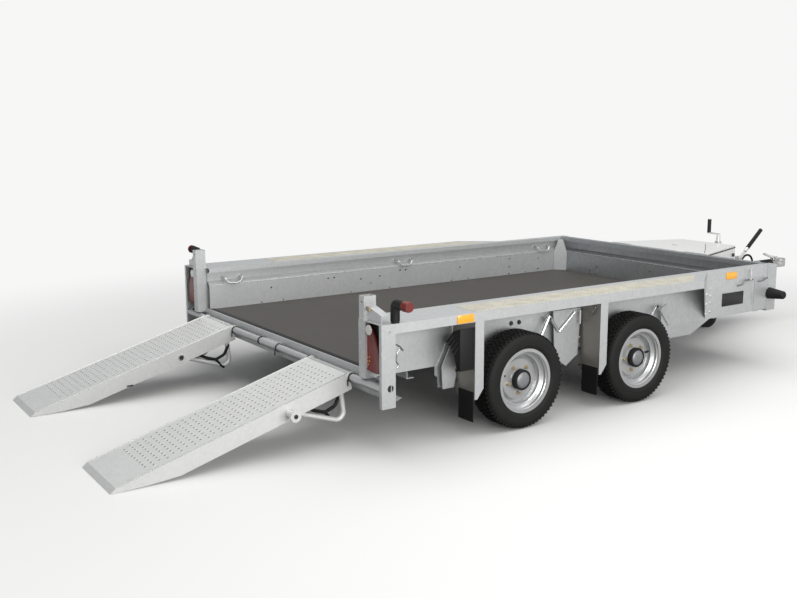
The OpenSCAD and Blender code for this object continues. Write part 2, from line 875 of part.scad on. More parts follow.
module lid_knuckle() {
    difference() {
        union() {
            rod_x(170, 240, lid_pin_y, lid_pin_z, lid_pin_r + 2);
            block(170, 240, lid_pin_y, box_y0 + 1, lid_pin_z - 2, lid_pin_z + 2);
        }
        rod_x(169, 241, lid_pin_y, lid_pin_z, lid_pin_r + 0.05);
    }
}

module toolbox_lid() {
    color("#c1c5c7") {
        difference() {
            translate([0, 0, box_top_z + seat_gap]) linear_extrude(lid_h - seat_gap) box_plan(0);
            translate([0, 0, box_top_z - 1]) linear_extrude(lid_h + 1 - sheet_t) box_plan(sheet_t);
        }
        both_sides() lid_knuckle();
    }
}

shaft_z = coupling_z + 6;
gaiter_y0 = coupling_y - 270;
gaiter_y1 = coupling_y - 115;
housing_y0 = coupling_y - 580;
saddle_ys = [coupling_y - 550, coupling_y - 340];
brake_y = coupling_y - 605;
brake_z = shaft_z + 94;

module overrun_housing() {
    color("#9fa4a7") {
        translate([0, housing_y0, shaft_z]) rotate([-90, 0, 0])
            cylinder(r = 38, h = gaiter_y0 - housing_y0);
        for (y = saddle_ys)
            block(-44, 44, y, y + 40, nose_plate_z, shaft_z - 10);
        block(66, 72, brake_y - 45, brake_y + 35, nose_plate_z, brake_z + 16);
        block(30, 66, brake_y - 35, brake_y + 25, nose_plate_z, nose_plate_z + 6);
        rod_x(72, 92, brake_y, brake_z, 6);
    }
}

module coupling_gaiter() {
    color("#1b1b1c")
        translate([0, gaiter_y0, shaft_z]) rotate([-90, 0, 0]) {
            cylinder(r1 = 30, r2 = 34, h = gaiter_y1 - gaiter_y0);
            for (i = [0 : 5])
                translate([0, 0, 8 + i * 24]) cylinder(r = 37, h = 9);
        }
}

handle_y = coupling_y - 69;
handle_z = coupling_z + 52;

module coupling_head() {
    color("#b5b9bb") difference() {
        union() {
            translate([0, gaiter_y1, shaft_z]) rotate([-90, 0, 0]) cylinder(r = 28, h = 70);
            translate([0, coupling_y + head_nose, coupling_z - 22]) cylinder(r = head_r, h = 62);
            block(-38, 38, coupling_y - 80, coupling_y, coupling_z - 22, coupling_z + 26);
            both_sides() block(16, 22, handle_y - 15, handle_y + 15, coupling_z + 20, handle_z + 12);
            rod_x(-22, 22, handle_y, handle_z, 4);
        }
        translate([0, coupling_y, coupling_z - 40]) cylinder(r = socket_r, h = 60);
    }
}

module coupling_handle() {
    color("#c4c8ca") difference() {
        along_x(-14, 14)
            strip([[handle_y + 5, handle_z], [handle_y - 25, handle_z + 4],
                [handle_y - 121, handle_z + 36]], 13);
        rod_x(-20, 20, handle_y, handle_z, 4.05);
    }
}

lead_x = -52;
lead_r = 8;
lead_y0 = coupling_y - 416;
lead_y1 = coupling_y - 272;
lead_top_z = shaft_z + 10;

module supply_lead() {
    half = (lead_y1 - lead_y0) / 2;
    color("#151516") {
        for (y = [lead_y0, lead_y1])
            translate([lead_x, y, nose_plate_z]) cylinder(r = lead_r, h = lead_top_z - nose_plate_z);
        translate([lead_x, lead_y0 + half, lead_top_z]) rotate([90, 0, 90])
            rotate_extrude(angle = 180) translate([half, 0]) circle(r = lead_r);
    }
}

module handbrake_lever() {
    color("#8d9194") difference() {
        union() {
            along_x(74, 82) strip([[brake_y, brake_z], [brake_y + 65, brake_z + 56]], 26);
            along_x(74, 82) translate([brake_y, brake_z]) circle(r = 18);
            translate([78, brake_y + 55, brake_z + 47]) rotate([-49.5, 0, 0])
                cylinder(r = 13, h = 237);
        }
        rod_x(70, 90, brake_y, brake_z, 6.05);
    }
}

jockey_top_z = 640;
leg_r = 19;
leg_foot_z = 212;
jockey_foot_z = 300;
trail = 96;

module jockey_tube() {
    color("#a9aeb1") translate([jockey_x, jockey_y, 0]) difference() {
        translate([0, 0, jockey_foot_z]) cylinder(r = tube_r, h = jockey_top_z - jockey_foot_z);
        translate([0, 0, jockey_foot_z - 5])
            cylinder(r = leg_r + 0.05, h = jockey_top_z - jockey_foot_z - 5);
        translate([0, 0, jockey_foot_z]) cylinder(r = 8.05, h = jockey_top_z);
    }
}

module jockey_leg() {
    color("#b8bcbf") translate([jockey_x, jockey_y, 0]) difference() {
        translate([0, 0, leg_foot_z]) cylinder(r = leg_r, h = 300);
        translate([0, 0, leg_foot_z + 20]) cylinder(r = leg_r - 3, h = 320);
    }
}

module jockey_fork() {
    color("#3f4245") {
        translate([jockey_x, jockey_y, leg_foot_z - 8]) cylinder(r = 30, h = 8 - seat_gap);
        for (x = [jockey_x - 38, jockey_x + 34])
            along_x(x, x + 4)
                polygon([[jockey_y - 28, leg_foot_z - 8], [jockey_y + 24, leg_foot_z - 8],
                    [jockey_y - trail + 16, jockey_r - 12], [jockey_y - trail - 16, jockey_r - 6]]);
        block(jockey_x - 34, jockey_x + 34, jockey_y - 28, jockey_y + 24, leg_foot_z - 12,
            leg_foot_z - 8);
        rod_x(jockey_x - 38, jockey_x + 38, jockey_y - trail, jockey_r, 8);
    }
}

module jockey_wheel() {
    color("#2a2b2c") difference() {
        rod_x(jockey_x - 30, jockey_x + 30, jockey_y - trail, jockey_r, jockey_r);
        rod_x(jockey_x - 31, jockey_x + 31, jockey_y - trail, jockey_r, 8.05);
    }
}

crank_dx = -104;
crank_dy = 22;

module jockey_crank() {
    color("#3a3c3e") {
        translate([jockey_x, jockey_y, jockey_top_z - 80]) cylinder(r = 8, h = 135);
        translate([jockey_x, jockey_y, jockey_top_z + seat_gap]) cylinder(r = 16, h = 40);
        translate([jockey_x, jockey_y, jockey_top_z + 50])
            rotate(atan2(crank_dy, crank_dx)) translate([-12, -9, 0])
                cube([norm([crank_dx, crank_dy]) + 18, 18, 10]);
        translate([jockey_x + crank_dx, jockey_y + crank_dy, jockey_top_z + 56])
            cylinder(r = 13, h = 104);
    }
}

place() floor_board();
place() chassis_rails();
place() crossmembers();
place() side_walls();
place() front_wall();
place() front_corner_posts();
place() running_boards();
place() tread_strips();
place() mudguard_plates();
place() mudflaps();
place() side_reflectors();
place() wheel_chock();
place() outer_rear_posts();
place() inner_rear_posts();
place() rear_crossmember();
place() ramp_bar();
place() tail_lamp_housings();
place() tail_lamp_lenses();
place() marker_arms();
place() marker_lenses();
place() lashing_rings();
place() rope_hooks();
place() spring_hangers();
place() leaf_springs();
place() axles();
place() tyre(rear_axle_y);  // rear_right_tyre
place() rim(rear_axle_y);  // rear_right_rim
place() left_side() tyre(rear_axle_y);  // rear_left_tyre
place() left_side() rim(rear_axle_y);  // rear_left_rim
place() tyre(front_axle_y);  // front_right_tyre
place() rim(front_axle_y);  // front_right_rim
place() left_side() tyre(front_axle_y);  // front_left_tyre
place() left_side() rim(front_axle_y);  // front_left_rim
place() color("#c4c8ca") ramp();  // right_ramp
place() color("#8f9497") ramp_sleeve();  // right_ramp_sleeve
place() left_side() color("#c4c8ca") ramp();  // left_ramp
place() left_side() color("#8f9497") ramp_sleeve();  // left_ramp_sleeve
place() drawbar_frame();
place() toolbox();
place() toolbox_lid();
place() overrun_housing();
place() coupling_gaiter();
place() coupling_head();
place() coupling_handle();
place() supply_lead();
place() handbrake_lever();
place() jockey_tube();
place() jockey_leg();
place() jockey_fork();
place() jockey_wheel();
place() jockey_crank();
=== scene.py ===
import math

import bmesh
import bpy
from mathutils import Matrix, Vector


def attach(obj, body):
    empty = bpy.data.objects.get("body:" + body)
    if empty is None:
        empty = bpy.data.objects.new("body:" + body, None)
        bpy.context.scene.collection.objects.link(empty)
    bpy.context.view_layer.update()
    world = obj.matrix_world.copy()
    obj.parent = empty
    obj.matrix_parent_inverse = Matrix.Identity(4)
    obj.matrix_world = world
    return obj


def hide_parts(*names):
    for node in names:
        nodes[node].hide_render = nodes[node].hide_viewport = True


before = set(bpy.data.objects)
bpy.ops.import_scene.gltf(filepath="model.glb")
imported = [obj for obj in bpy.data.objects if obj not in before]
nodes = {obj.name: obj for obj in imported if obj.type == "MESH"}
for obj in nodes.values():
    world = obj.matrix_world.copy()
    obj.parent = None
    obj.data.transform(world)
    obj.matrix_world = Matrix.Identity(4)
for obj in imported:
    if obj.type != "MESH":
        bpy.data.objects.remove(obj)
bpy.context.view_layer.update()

# Camera. The photograph was taken from behind the right rear corner at head height, with a
# short telephoto lens, so it looks forward and a little down along the trailer.
MIDDLE_Y = 1.7285
eye = Vector((4.730, -2.3201 - MIDDLE_Y, 1.5259))
look_yaw = math.radians(55.986)
look_down = math.radians(10.272)
roll = math.radians(-0.187)
focal_px = 974.44
frame_px = 797
sensor_mm = 36.0
camera_data = bpy.data.cameras.new("photo_camera")
camera_data.sensor_width = sensor_mm
camera_data.lens = focal_px / frame_px * sensor_mm
camera_data.clip_end = 200
camera = bpy.data.objects.new("photo_camera", camera_data)
camera.matrix_world = (
    Matrix.Translation(eye)
    @ Matrix.Rotation(look_yaw, 4, "Z")
    @ Matrix.Rotation(math.pi / 2 - look_down, 4, "X")
    @ Matrix.Rotation(roll, 4, "Z")
)
bpy.context.scene.collection.objects.link(camera)
bpy.context.scene.camera = camera


# Studio. A white floor, lit from a large soft panel overhead and a lower one
# on the camera's side. The world fills the rest and looks near-white to cameras and transmission;
# away from the trailer the floor fades to the same near-white for cameras, gloss and
# transmission.
def add_node(tree, kind, values=None, **settings):
    node = tree.nodes.new(kind)
    for name, setting in settings.items():
        setattr(node, name, setting)
    for socket, value in (values or {}).items():
        node.inputs[socket].default_value = value
    return node


def wire(tree, *links):
    for source, target in links:
        tree.links.new(source, target)


paper_white = (0.93, 0.93, 0.925, 1)
fill_strength = 0.42
bpy.context.scene.view_settings.view_transform = "Standard"
world = bpy.data.worlds.new("studio")
bpy.context.scene.world = world
world.use_nodes = True
sky = world.node_tree
sky.nodes.clear()
fill_light = add_node(sky, "ShaderNodeBackground",
                      {"Color": (0.96, 0.98, 1.0, 1), "Strength": fill_strength})
seen_light = add_node(sky, "ShaderNodeBackground", {"Color": paper_white, "Strength": 1.0})
sky_ray = add_node(sky, "ShaderNodeLightPath")
sky_seen = add_node(sky, "ShaderNodeMath", operation="MAXIMUM")
sky_mix = add_node(sky, "ShaderNodeMixShader")
sky_out = add_node(sky, "ShaderNodeOutputWorld")
wire(sky,
     (sky_ray.outputs["Is Camera Ray"], sky_seen.inputs[0]),
     (sky_ray.outputs["Is Transmission Ray"], sky_seen.inputs[1]),
     (sky_seen.outputs[0], sky_mix.inputs["Fac"]),
     (fill_light.outputs[0], sky_mix.inputs[1]),
     (seen_light.outputs[0], sky_mix.inputs[2]),
     (sky_mix.outputs[0], sky_out.inputs["Surface"]))

glow_from, glow_full = 1.9, 5.5
floor_mat = bpy.data.materials.new("studio_floor")
floor_mat.use_nodes = True
floor_tree = floor_mat.node_tree
floor_skin = floor_tree.nodes["Principled BSDF"]
floor_skin.inputs["Roughness"].default_value = 0.6
floor_skin.inputs["Specular IOR Level"].default_value = 0.2
floor_glow = add_node(floor_tree, "ShaderNodeEmission", {"Color": paper_white})
floor_where = add_node(floor_tree, "ShaderNodeTexCoord")
floor_far = add_node(floor_tree, "ShaderNodeVectorMath", operation="LENGTH")
floor_fade = add_node(floor_tree, "ShaderNodeMapRange",
                      {"From Min": glow_from, "From Max": glow_full},
                      interpolation_type="SMOOTHSTEP")
floor_ray = add_node(floor_tree, "ShaderNodeLightPath")
floor_shiny = add_node(floor_tree, "ShaderNodeMath", operation="MAXIMUM")
floor_seen = add_node(floor_tree, "ShaderNodeMath", operation="MAXIMUM")
floor_share = add_node(floor_tree, "ShaderNodeMath", operation="MULTIPLY")
floor_mix = add_node(floor_tree, "ShaderNodeMixShader")
floor_tone = add_node(floor_tree, "ShaderNodeMix",
                      {"A": (0.20, 0.20, 0.20, 1), "B": (0.84, 0.84, 0.83, 1)}, data_type="RGBA")
wire(floor_tree,
     (floor_ray.outputs["Is Camera Ray"], floor_tone.inputs["Factor"]),
     (floor_tone.outputs["Result"], floor_skin.inputs["Base Color"]),
     (floor_ray.outputs["Is Camera Ray"], floor_shiny.inputs[0]),
     (floor_ray.outputs["Is Glossy Ray"], floor_shiny.inputs[1]),
     (floor_shiny.outputs[0], floor_seen.inputs[0]),
     (floor_ray.outputs["Is Transmission Ray"], floor_seen.inputs[1]),
     (floor_where.outputs["Object"], floor_far.inputs[0]),
     (floor_far.outputs["Value"], floor_fade.inputs["Value"]),
     (floor_seen.outputs[0], floor_share.inputs[0]),
     (floor_fade.outputs["Result"], floor_share.inputs[1]),
     (floor_share.outputs[0], floor_mix.inputs["Fac"]),
     (floor_skin.outputs[0], floor_mix.inputs[1]),
     (floor_glow.outputs[0], floor_mix.inputs[2]),
     (floor_mix.outputs[0], floor_tree.nodes["Material Output"].inputs["Surface"]))
sweep_half = 40
sweep = bmesh.new()
bmesh.ops.create_grid(sweep, x_segments=2, y_segments=2, size=sweep_half)
floor_mesh = bpy.data.meshes.new("studio_floor")
sweep.to_mesh(floor_mesh)
sweep.free()
floor = bpy.data.objects.new("studio_floor", floor_mesh)
floor.location.z = -0.0005
floor.data.materials.append(floor_mat)
bpy.context.scene.collection.objects.link(floor)


def hang_panel(name, place, target, size, watts, tint):
    lamp = bpy.data.lights.new(name, "AREA")
    lamp.shape = "RECTANGLE"
    lamp.size, lamp.size_y = size
    lamp.energy = watts
    lamp.color = tint
    holder = bpy.data.objects.new(name, lamp)
    holder.location = place
    holder.rotation_euler = (Vector(target) - Vector(place)).to_track_quat("-Z", "Y").to_euler()
    bpy.context.scene.collection.objects.link(holder)


hang_panel("overhead_panel", (0.8, 0.1, 5.2), (0, 0.2, 0.3), (7.0, 9.0), 300, (1.0, 0.99, 0.97))
hang_panel("side_panel", (7.0, -1.4, 1.6), (0.6, 0.4, 0.5), (6.5, 2.4), 305, (1.0, 0.99, 0.98))


# Chassis. Channels, tubes, posts and the drawbar are welded or bolted into one frame of steel
# dipped in molten zinc, which freezes in pale grey crystals with duller clouds and faint runs.
def group_socket(group, name, side, kind, value=None):
    socket = group.interface.new_socket(name=name, in_out=side, socket_type=kind)
    if value is not None:
        socket.default_value = value


zinc_bloom = bpy.data.node_groups.new("zinc_bloom", "ShaderNodeTree")
group_socket(zinc_bloom, "Crystal Scale", "INPUT", "NodeSocketFloat", 45.0)
group_socket(zinc_bloom, "Clouding", "INPUT", "NodeSocketFloat", 0.2)
group_socket(zinc_bloom, "Dark", "INPUT", "NodeSocketColor", (0.42, 0.44, 0.46, 1))
group_socket(zinc_bloom, "Light", "INPUT", "NodeSocketColor", (0.66, 0.68, 0.69, 1))
group_socket(zinc_bloom, "Colour", "OUTPUT", "NodeSocketColor")
group_socket(zinc_bloom, "Gloss Mask", "OUTPUT", "NodeSocketFloat")
group_socket(zinc_bloom, "Height", "OUTPUT", "NodeSocketFloat")
bloom_in = add_node(zinc_bloom, "NodeGroupInput")
bloom_out = add_node(zinc_bloom, "NodeGroupOutput")
bloom_where = add_node(zinc_bloom, "ShaderNodeTexCoord")
crystals = add_node(zinc_bloom, "ShaderNodeTexVoronoi", {"Randomness": 1.0})
crystal_tone = add_node(zinc_bloom, "ShaderNodeSeparateColor")
clouds = add_node(zinc_bloom, "ShaderNodeTexNoise",
                  {"Scale": 5.5, "Detail": 6.0, "Roughness": 0.62})
run_stretch = add_node(zinc_bloom, "ShaderNodeMapping", {"Scale": (22.0, 22.0, 1.6)})
runs = add_node(zinc_bloom, "ShaderNodeTexNoise", {"Scale": 1.0, "Detail": 3.0})
crystal_share = add_node(zinc_bloom, "ShaderNodeMath", {1: 0.30}, operation="MULTIPLY")
run_share = add_node(zinc_bloom, "ShaderNodeMath", {1: 0.20}, operation="MULTIPLY_ADD")
cloud_middle = add_node(zinc_bloom, "ShaderNodeMath", {1: 0.5}, operation="SUBTRACT")
cloud_swing = add_node(zinc_bloom, "ShaderNodeMath", {2: 0.38}, operation="MULTIPLY_ADD")
mottle = add_node(zinc_bloom, "ShaderNodeMath", operation="ADD")
bloom_tone = add_node(zinc_bloom, "ShaderNodeMix", data_type="RGBA")
wire(zinc_bloom,
     (bloom_where.outputs["Object"], crystals.inputs["Vector"]),
     (bloom_where.outputs["Object"], clouds.inputs["Vector"]),
     (bloom_where.outputs["Object"], run_stretch.inputs["Vector"]),
     (run_stretch.outputs["Vector"], runs.inputs["Vector"]),
     (bloom_in.outputs["Crystal Scale"], crystals.inputs["Scale"]),
     (crystals.outputs["Color"], crystal_tone.inputs["Color"]),
     (crystal_tone.outputs["Red"], crystal_share.inputs[0]),
     (runs.outputs["Fac"], run_share.inputs[0]),
     (crystal_share.outputs[0], run_share.inputs[2]),
     (clouds.outputs["Fac"], cloud_middle.inputs[0]),
     (cloud_middle.outputs[0], cloud_swing.inputs[0]),
     (bloom_in.outputs["Clouding"], cloud_swing.inputs[1]),
     (run_share.outputs[0], mottle.inputs[0]),
     (cloud_swing.outputs[0], mottle.inputs[1]),
     (mottle.outputs[0], bloom_tone.inputs["Factor"]),
     (bloom_in.outputs["Dark"], bloom_tone.inputs["A"]),
     (bloom_in.outputs["Light"], bloom_tone.inputs["B"]),
     (bloom_tone.outputs["Result"], bloom_out.inputs["Colour"]),
     (mottle.outputs[0], bloom_out.inputs["Gloss Mask"]),
     (crystal_tone.outputs["Green"], bloom_out.inputs["Height"]))


def new_skin(name, metallic, specular=0.5, coat=0.0):
    skin = bpy.data.materials.new(name)
    skin.use_nodes = True
    shader = skin.node_tree.nodes["Principled BSDF"]
    shader.inputs["Metallic"].default_value = metallic
    shader.inputs["Specular IOR Level"].default_value = specular
    shader.inputs["Coat Weight"].default_value = coat
    shader.inputs["Coat Roughness"].default_value = 0.08
    return skin, skin.node_tree, shader


def zinc_skin(name, dark, light, crystal, clouding, rough, metallic):
    skin, tree, shader = new_skin(name, metallic)
    bloom = add_node(tree, "ShaderNodeGroup", node_tree=zinc_bloom)
    bloom.inputs["Crystal Scale"].default_value = crystal
    bloom.inputs["Clouding"].default_value = clouding
    bloom.inputs["Dark"].default_value = (*dark, 1)
    bloom.inputs["Light"].default_value = (*light, 1)
    gloss = add_node(tree, "ShaderNodeMapRange", {"To Min": rough[1], "To Max": rough[0]})
    ripple = add_node(tree, "ShaderNodeBump", {"Strength": 0.06, "Distance": 0.002})
    wire(tree,
         (bloom.outputs["Colour"], shader.inputs["Base Color"]),
         (bloom.outputs["Gloss Mask"], gloss.inputs["Value"]),
         (gloss.outputs["Result"], shader.inputs["Roughness"]),
         (bloom.outputs["Height"], ripple.inputs["Height"]),
         (ripple.outputs["Normal"], shader.inputs["Normal"]))
    return skin


def dress(skin, *names):
    for name in names:
        node = nodes[name]
        if not node.material_slots:
            node.data.materials.append(skin)
        for held in node.material_slots:
            held.material = skin


frame_zinc = zinc_skin("frame_zinc", (0.46, 0.475, 0.485), (0.64, 0.65, 0.65), 70.0, 0.45,
                       (0.34, 0.52), 0.5)
dress(frame_zinc, "chassis_rails", "crossmembers", "rear_crossmember", "ramp_bar",
      "drawbar_frame", "outer_rear_posts", "inner_rear_posts", "front_corner_posts", "rope_hooks")


# Axles and springs. Bare dark steel beams hang on leaf springs, whose eyes are pinned between
# zinc-dipped hanger plates bolted to the chassis.
def plain_skin(name, dark, light, scale, rough=(0.5, 0.7), bump=0.1, metallic=0.0,
               specular=0.5, coat=0.0):
    skin, tree, shader = new_skin(name, metallic, specular, coat)
    where = add_node(tree, "ShaderNodeTexCoord")
    grain = add_node(tree, "ShaderNodeTexNoise", {"Scale": scale, "Detail": 4.0})
    blend = add_node(tree, "ShaderNodeMix", {"A": (*dark, 1), "B": (*light, 1)}, data_type="RGBA")
    gloss = add_node(tree, "ShaderNodeMapRange", {"To Min": rough[0], "To Max": rough[1]})
    relief = add_node(tree, "ShaderNodeBump", {"Strength": bump, "Distance": 0.001})
    wire(tree,
         (where.outputs["Object"], grain.inputs["Vector"]),
         (grain.outputs["Fac"], blend.inputs["Factor"]),
         (blend.outputs["Result"], shader.inputs["Base Color"]),
         (grain.outputs["Fac"], gloss.inputs["Value"]),
         (gloss.outputs["Result"], shader.inputs["Roughness"]),
         (grain.outputs["Fac"], relief.inputs["Height"]),
         (relief.outputs["Normal"], shader.inputs["Normal"]))
    return skin


dark_steel = plain_skin("dark_steel", (0.035, 0.037, 0.04), (0.09, 0.09, 0.09), 35.0,
                        (0.4, 0.6), 0.2, 0.5)
dress(dark_steel, "leaf_springs", "axles")
dress(frame_zinc, "spring_hangers")

# Deck. A single sheet of resin-faced plywood, dark brown-grey, with a fine wire-mesh pattern
# pressed in the top for grip, and tracks worn a little paler along it.
deck_skin, deck_tree, deck_shader = new_skin("deck_ply", 0.0, 0.35)
deck_shader.inputs["Roughness"].default_value = 0.62
deck_where = add_node(deck_tree, "ShaderNodeTexCoord")
deck_turn = add_node(deck_tree, "ShaderNodeMapping", {"Rotation": (0, 0, math.radians(45))})
mesh_mark = add_node(deck_tree, "ShaderNodeTexChecker", {"Scale": 160.0})
deck_wear = add_node(deck_tree, "ShaderNodeTexNoise",
                     {"Scale": 2.2, "Detail": 8.0, "Roughness": 0.7})
deck_colour = add_node(deck_tree, "ShaderNodeMix",
                       {"A": (0.058, 0.053, 0.048, 1), "B": (0.088, 0.081, 0.074, 1)},
                       data_type="RGBA")
deck_relief = add_node(deck_tree, "ShaderNodeBump", {"Strength": 0.3, "Distance": 0.0006})
wire(deck_tree,
     (deck_where.outputs["Object"], deck_turn.inputs["Vector"]),
     (deck_turn.outputs["Vector"], mesh_mark.inputs["Vector"]),
     (deck_where.outputs["Object"], deck_wear.inputs["Vector"]),
     (deck_wear.outputs["Fac"], deck_colour.inputs["Factor"]),
     (deck_colour.outputs["Result"], deck_shader.inputs["Base Color"]),
     (mesh_mark.outputs["Fac"], deck_relief.inputs["Height"]),
     (deck_relief.outputs["Normal"], deck_shader.inputs["Normal"]))
dress(deck_skin, "floor_board")


# Walls. Folded zinc sheet stands round the deck, held to the chassis by round-headed bolts in
# pairs and singly, with a row of rivets low down where the floor angle runs.
def spot(x, y, z):
    return Vector((x / 1000, y / 1000 - MIDDLE_Y, z / 1000))


def fit_piece(name, shape, body, skin, crease=35):
    bmesh.ops.recalc_face_normals(shape, faces=shape.faces)
    mesh = bpy.data.meshes.new(name)
    shape.to_mesh(mesh)
    shape.free()
    mesh.materials.append(skin)
    mesh.shade_smooth()
    mesh.set_sharp_from_angle(angle=math.radians(crease))
    piece = bpy.data.objects.new(name, mesh)
    bpy.context.scene.collection.objects.link(piece)
    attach(piece, body)
    return piece


def aim(place, out):
    return Matrix.Translation(place) @ Vector(out).to_track_quat("Z", "Y").to_matrix().to_4x4()


def add_turned(shape, place, out, wide, narrow, deep, sides):
    bmesh.ops.create_cone(
        shape, cap_ends=True, segments=sides, radius1=wide / 1000, radius2=narrow / 1000,
        depth=deep / 1000,
        matrix=aim(place, out) @ Matrix.Translation((0, 0, deep / 2000)))


def add_bolt(shape, place, out, size):
    add_turned(shape, place, out, size * 1.45, size * 1.35, 1.6, 18)
    head = place + Vector(out).normalized() * 0.0015
    add_turned(shape, head, out, size, size * 0.96, size * 0.75, 6)


def add_rivet(shape, place, out, size):
    add_turned(shape, place, out, size, size * 0.6, size * 0.45, 12)


wall_in = 920
wall_front_y = 3048
sheet_zinc = zinc_skin("sheet_zinc", (0.49, 0.505, 0.515), (0.68, 0.69, 0.69), 55.0, 0.4,
                       (0.34, 0.5), 0.5)
# A darker, more metallic copy of the sheet zinc for the front wall paints the shade on its inner
# face.
front_wall_shade_zinc = zinc_skin("front_wall_shade_zinc", (0.32, 0.34, 0.355), (0.52, 0.54, 0.55), 55.0, 0.5,
                      (0.26, 0.4), 0.85)
stud_zinc = zinc_skin("stud_zinc", (0.22, 0.23, 0.24), (0.42, 0.43, 0.44), 120.0, 0.8,
                      (0.18, 0.3), 0.9)
dress(sheet_zinc, "side_walls")
dress(front_wall_shade_zinc, "front_wall")
wall_bolts = [(494, 473), (921, 494), (968, 495), (1180, 467), (1336, 473), (1507, 499),
              (1555, 498), (2041, 475), (2515, 501), (2515, 437), (2515, 384), (2810, 400),
              (2810, 480)]
low_rivets = [(423, 382), (579, 382), (1103, 382), (1262, 428), (1415, 382), (1962, 382),
              (2120, 382), (2680, 382)]
front_wall_bolts = [(-587, 408), (-526, 439), (-579, 386), (-524, 391), (0, 400), (0, 470),
                    (587, 408), (526, 439), (579, 386), (524, 391)]
wall_studs = bmesh.new()
for side in (-1, 1):
    for y, z in wall_bolts:
        add_rivet(wall_studs, spot(side * wall_in, y, z), (-side, 0, 0), 8)
    for y, z in low_rivets:
        add_rivet(wall_studs, spot(side * wall_in, y, z), (-side, 0, 0), 5.5)
for x, z in front_wall_bolts:
    add_bolt(wall_studs, spot(x, wall_front_y, z), (0, -1, 0), 6)
fit_piece("wall_studs", wall_studs, "trailer", stud_zinc)


# Wall folds. The sheet is folded sharply along the foot of the recess, where a thin bright rod is
# a painted highlight on the upturned ledge, and bent lashing staples of bright rod hang in the
# recess.
def add_bent_rod(shape, points, radius, sides, bend=None):
    bend = (bend or radius * 2.5) / 1000
    line = bpy.data.curves.new("bent_rod", "CURVE")
    line.dimensions = "3D"
    line.bevel_depth = radius / 1000
    line.bevel_resolution = max(1, sides // 4)
    line.use_fill_caps = True
    spline = line.splines.new("NURBS")
    places = [spot(*p) for p in points]
    way = [places[0]]
    for before, here, after in zip(places, places[1:], places[2:]):
        back, on = (before - here), (after - here)
        way.append(here + back.normalized() * min(bend, back.length * 0.45))
        way.append(here)
        way.append(here + on.normalized() * min(bend, on.length * 0.45))
    way.append(places[-1])
    spline.points.add(len(way) - 1)
    for point, place in zip(spline.points, way):
        point.co = (*place, 1)
    spline.order_u = 3
    spline.use_endpoint_u = True
    spline.resolution_u = 5
    holder = bpy.data.objects.new("bent_rod", line)
    bpy.context.scene.collection.objects.link(holder)
    settled = holder.evaluated_get(bpy.context.evaluated_depsgraph_get())
    made = bpy.data.meshes.new_from_object(settled)
    shape.from_mesh(made)
    bpy.data.objects.remove(holder)
    bpy.data.curves.remove(line)
    bpy.data.meshes.remove(made)


bright_zinc = zinc_skin("bright_zinc", (0.62, 0.63, 0.63), (0.82, 0.82, 0.81), 30.0, 0.5,
                        (0.22, 0.36), 0.75)
dress(bright_zinc, "lashing_rings")
fold_z = 524
staple_middles = (231, 1551, 2862)
staple_bend = [(950, -66, 570), (914, -60, 560), (905, -40, 533), (903, 12, 528),
               (906, 40, 536), (914, 58, 560), (950, 62, 570)]
# The bright rods along the side wall and front wall folds are painted highlight.
wall_fold_highlights, staples = bmesh.new(), bmesh.new()
for side in (-1, 1):
    add_bent_rod(wall_fold_highlights, [(side * 921, 68, fold_z), (side * 921, 3038, fold_z)], 2.6, 8)
    for y in staple_middles:
        add_bent_rod(staples, [(side * x, y + along, z) for x, along, z in staple_bend],
                     6.5, 10, 14)
add_bent_rod(wall_fold_highlights, [(-914, 3046.5, fold_z), (914, 3046.5, fold_z)], 2.6, 8)
fit_piece("wall_fold_highlights", wall_fold_highlights, "trailer", bright_zinc)
staple_piece = fit_piece("lashing_staples", staples, "trailer", bright_zinc)
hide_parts("lashing_rings")


# Deck edge. A thin black strip along the rear edge of the board, behind the folded sill where the
# raised
# ramps stay clear of it, is painted shade: the shadow that the rear bar casts on the sill.
def add_plate(shape, corner, opposite, edge, turn=None):
    middle = [(a + b) / 2 for a, b in zip(corner, opposite)]
    size = [abs(b - a) / 1000 for a, b in zip(corner, opposite)]
    place = Matrix.Translation(spot(*middle))
    if turn is not None:
        place = place @ turn
    made = bmesh.ops.create_cube(shape, size=1, matrix=place @ Matrix.Diagonal((*size, 1)))
    edges = list({e for v in made["verts"] for e in v.link_edges})
    bmesh.ops.bevel(shape, geom=edges, offset=edge / 1000, affect="EDGES", segments=2,
                    profile=0.5, material=-1)


black_rubber = plain_skin("black_rubber", (0.006, 0.006, 0.007), (0.016, 0.016, 0.016), 90.0,
                          (0.5, 0.68), 0.15, specular=0.3)
shade_half, shade_y0, shade_y1 = 912, 62, 92
# Black strip painted as the rear bar's shadow along the deck edge.
rear_edge_shade = bmesh.new()
add_plate(rear_edge_shade, (-shade_half, shade_y0, 373), (shade_half, shade_y1, 378), 1)
fit_piece("deck_edge_shade_strip", rear_edge_shade, "trailer", black_rubber)

# Running boards. Folded zinc treads run over the wheels, and cream self-coloured strips with
# rows of small raised pips are stuck along their tops for a dry foothold.
dress(sheet_zinc, "running_boards")
strip_skin, strip_tree, strip_shader = new_skin("cream_tread", 0.0, 0.35)
strip_shader.inputs["Roughness"].default_value = 0.75
strip_where = add_node(strip_tree, "ShaderNodeTexCoord")
pips = add_node(strip_tree, "ShaderNodeTexVoronoi", {"Scale": 38.0, "Randomness": 0.15})
strip_dirt = add_node(strip_tree, "ShaderNodeTexNoise", {"Scale": 14.0, "Detail": 6.0})
strip_mix = add_node(strip_tree, "ShaderNodeMix",
                     {"A": (0.30, 0.285, 0.235, 1), "B": (0.66, 0.635, 0.545, 1)},
                     data_type="RGBA")
pip_rise = add_node(strip_tree, "ShaderNodeMapRange",
                    {"From Min": 0.1, "From Max": 0.45, "To Min": 1.0, "To Max": 0.0})
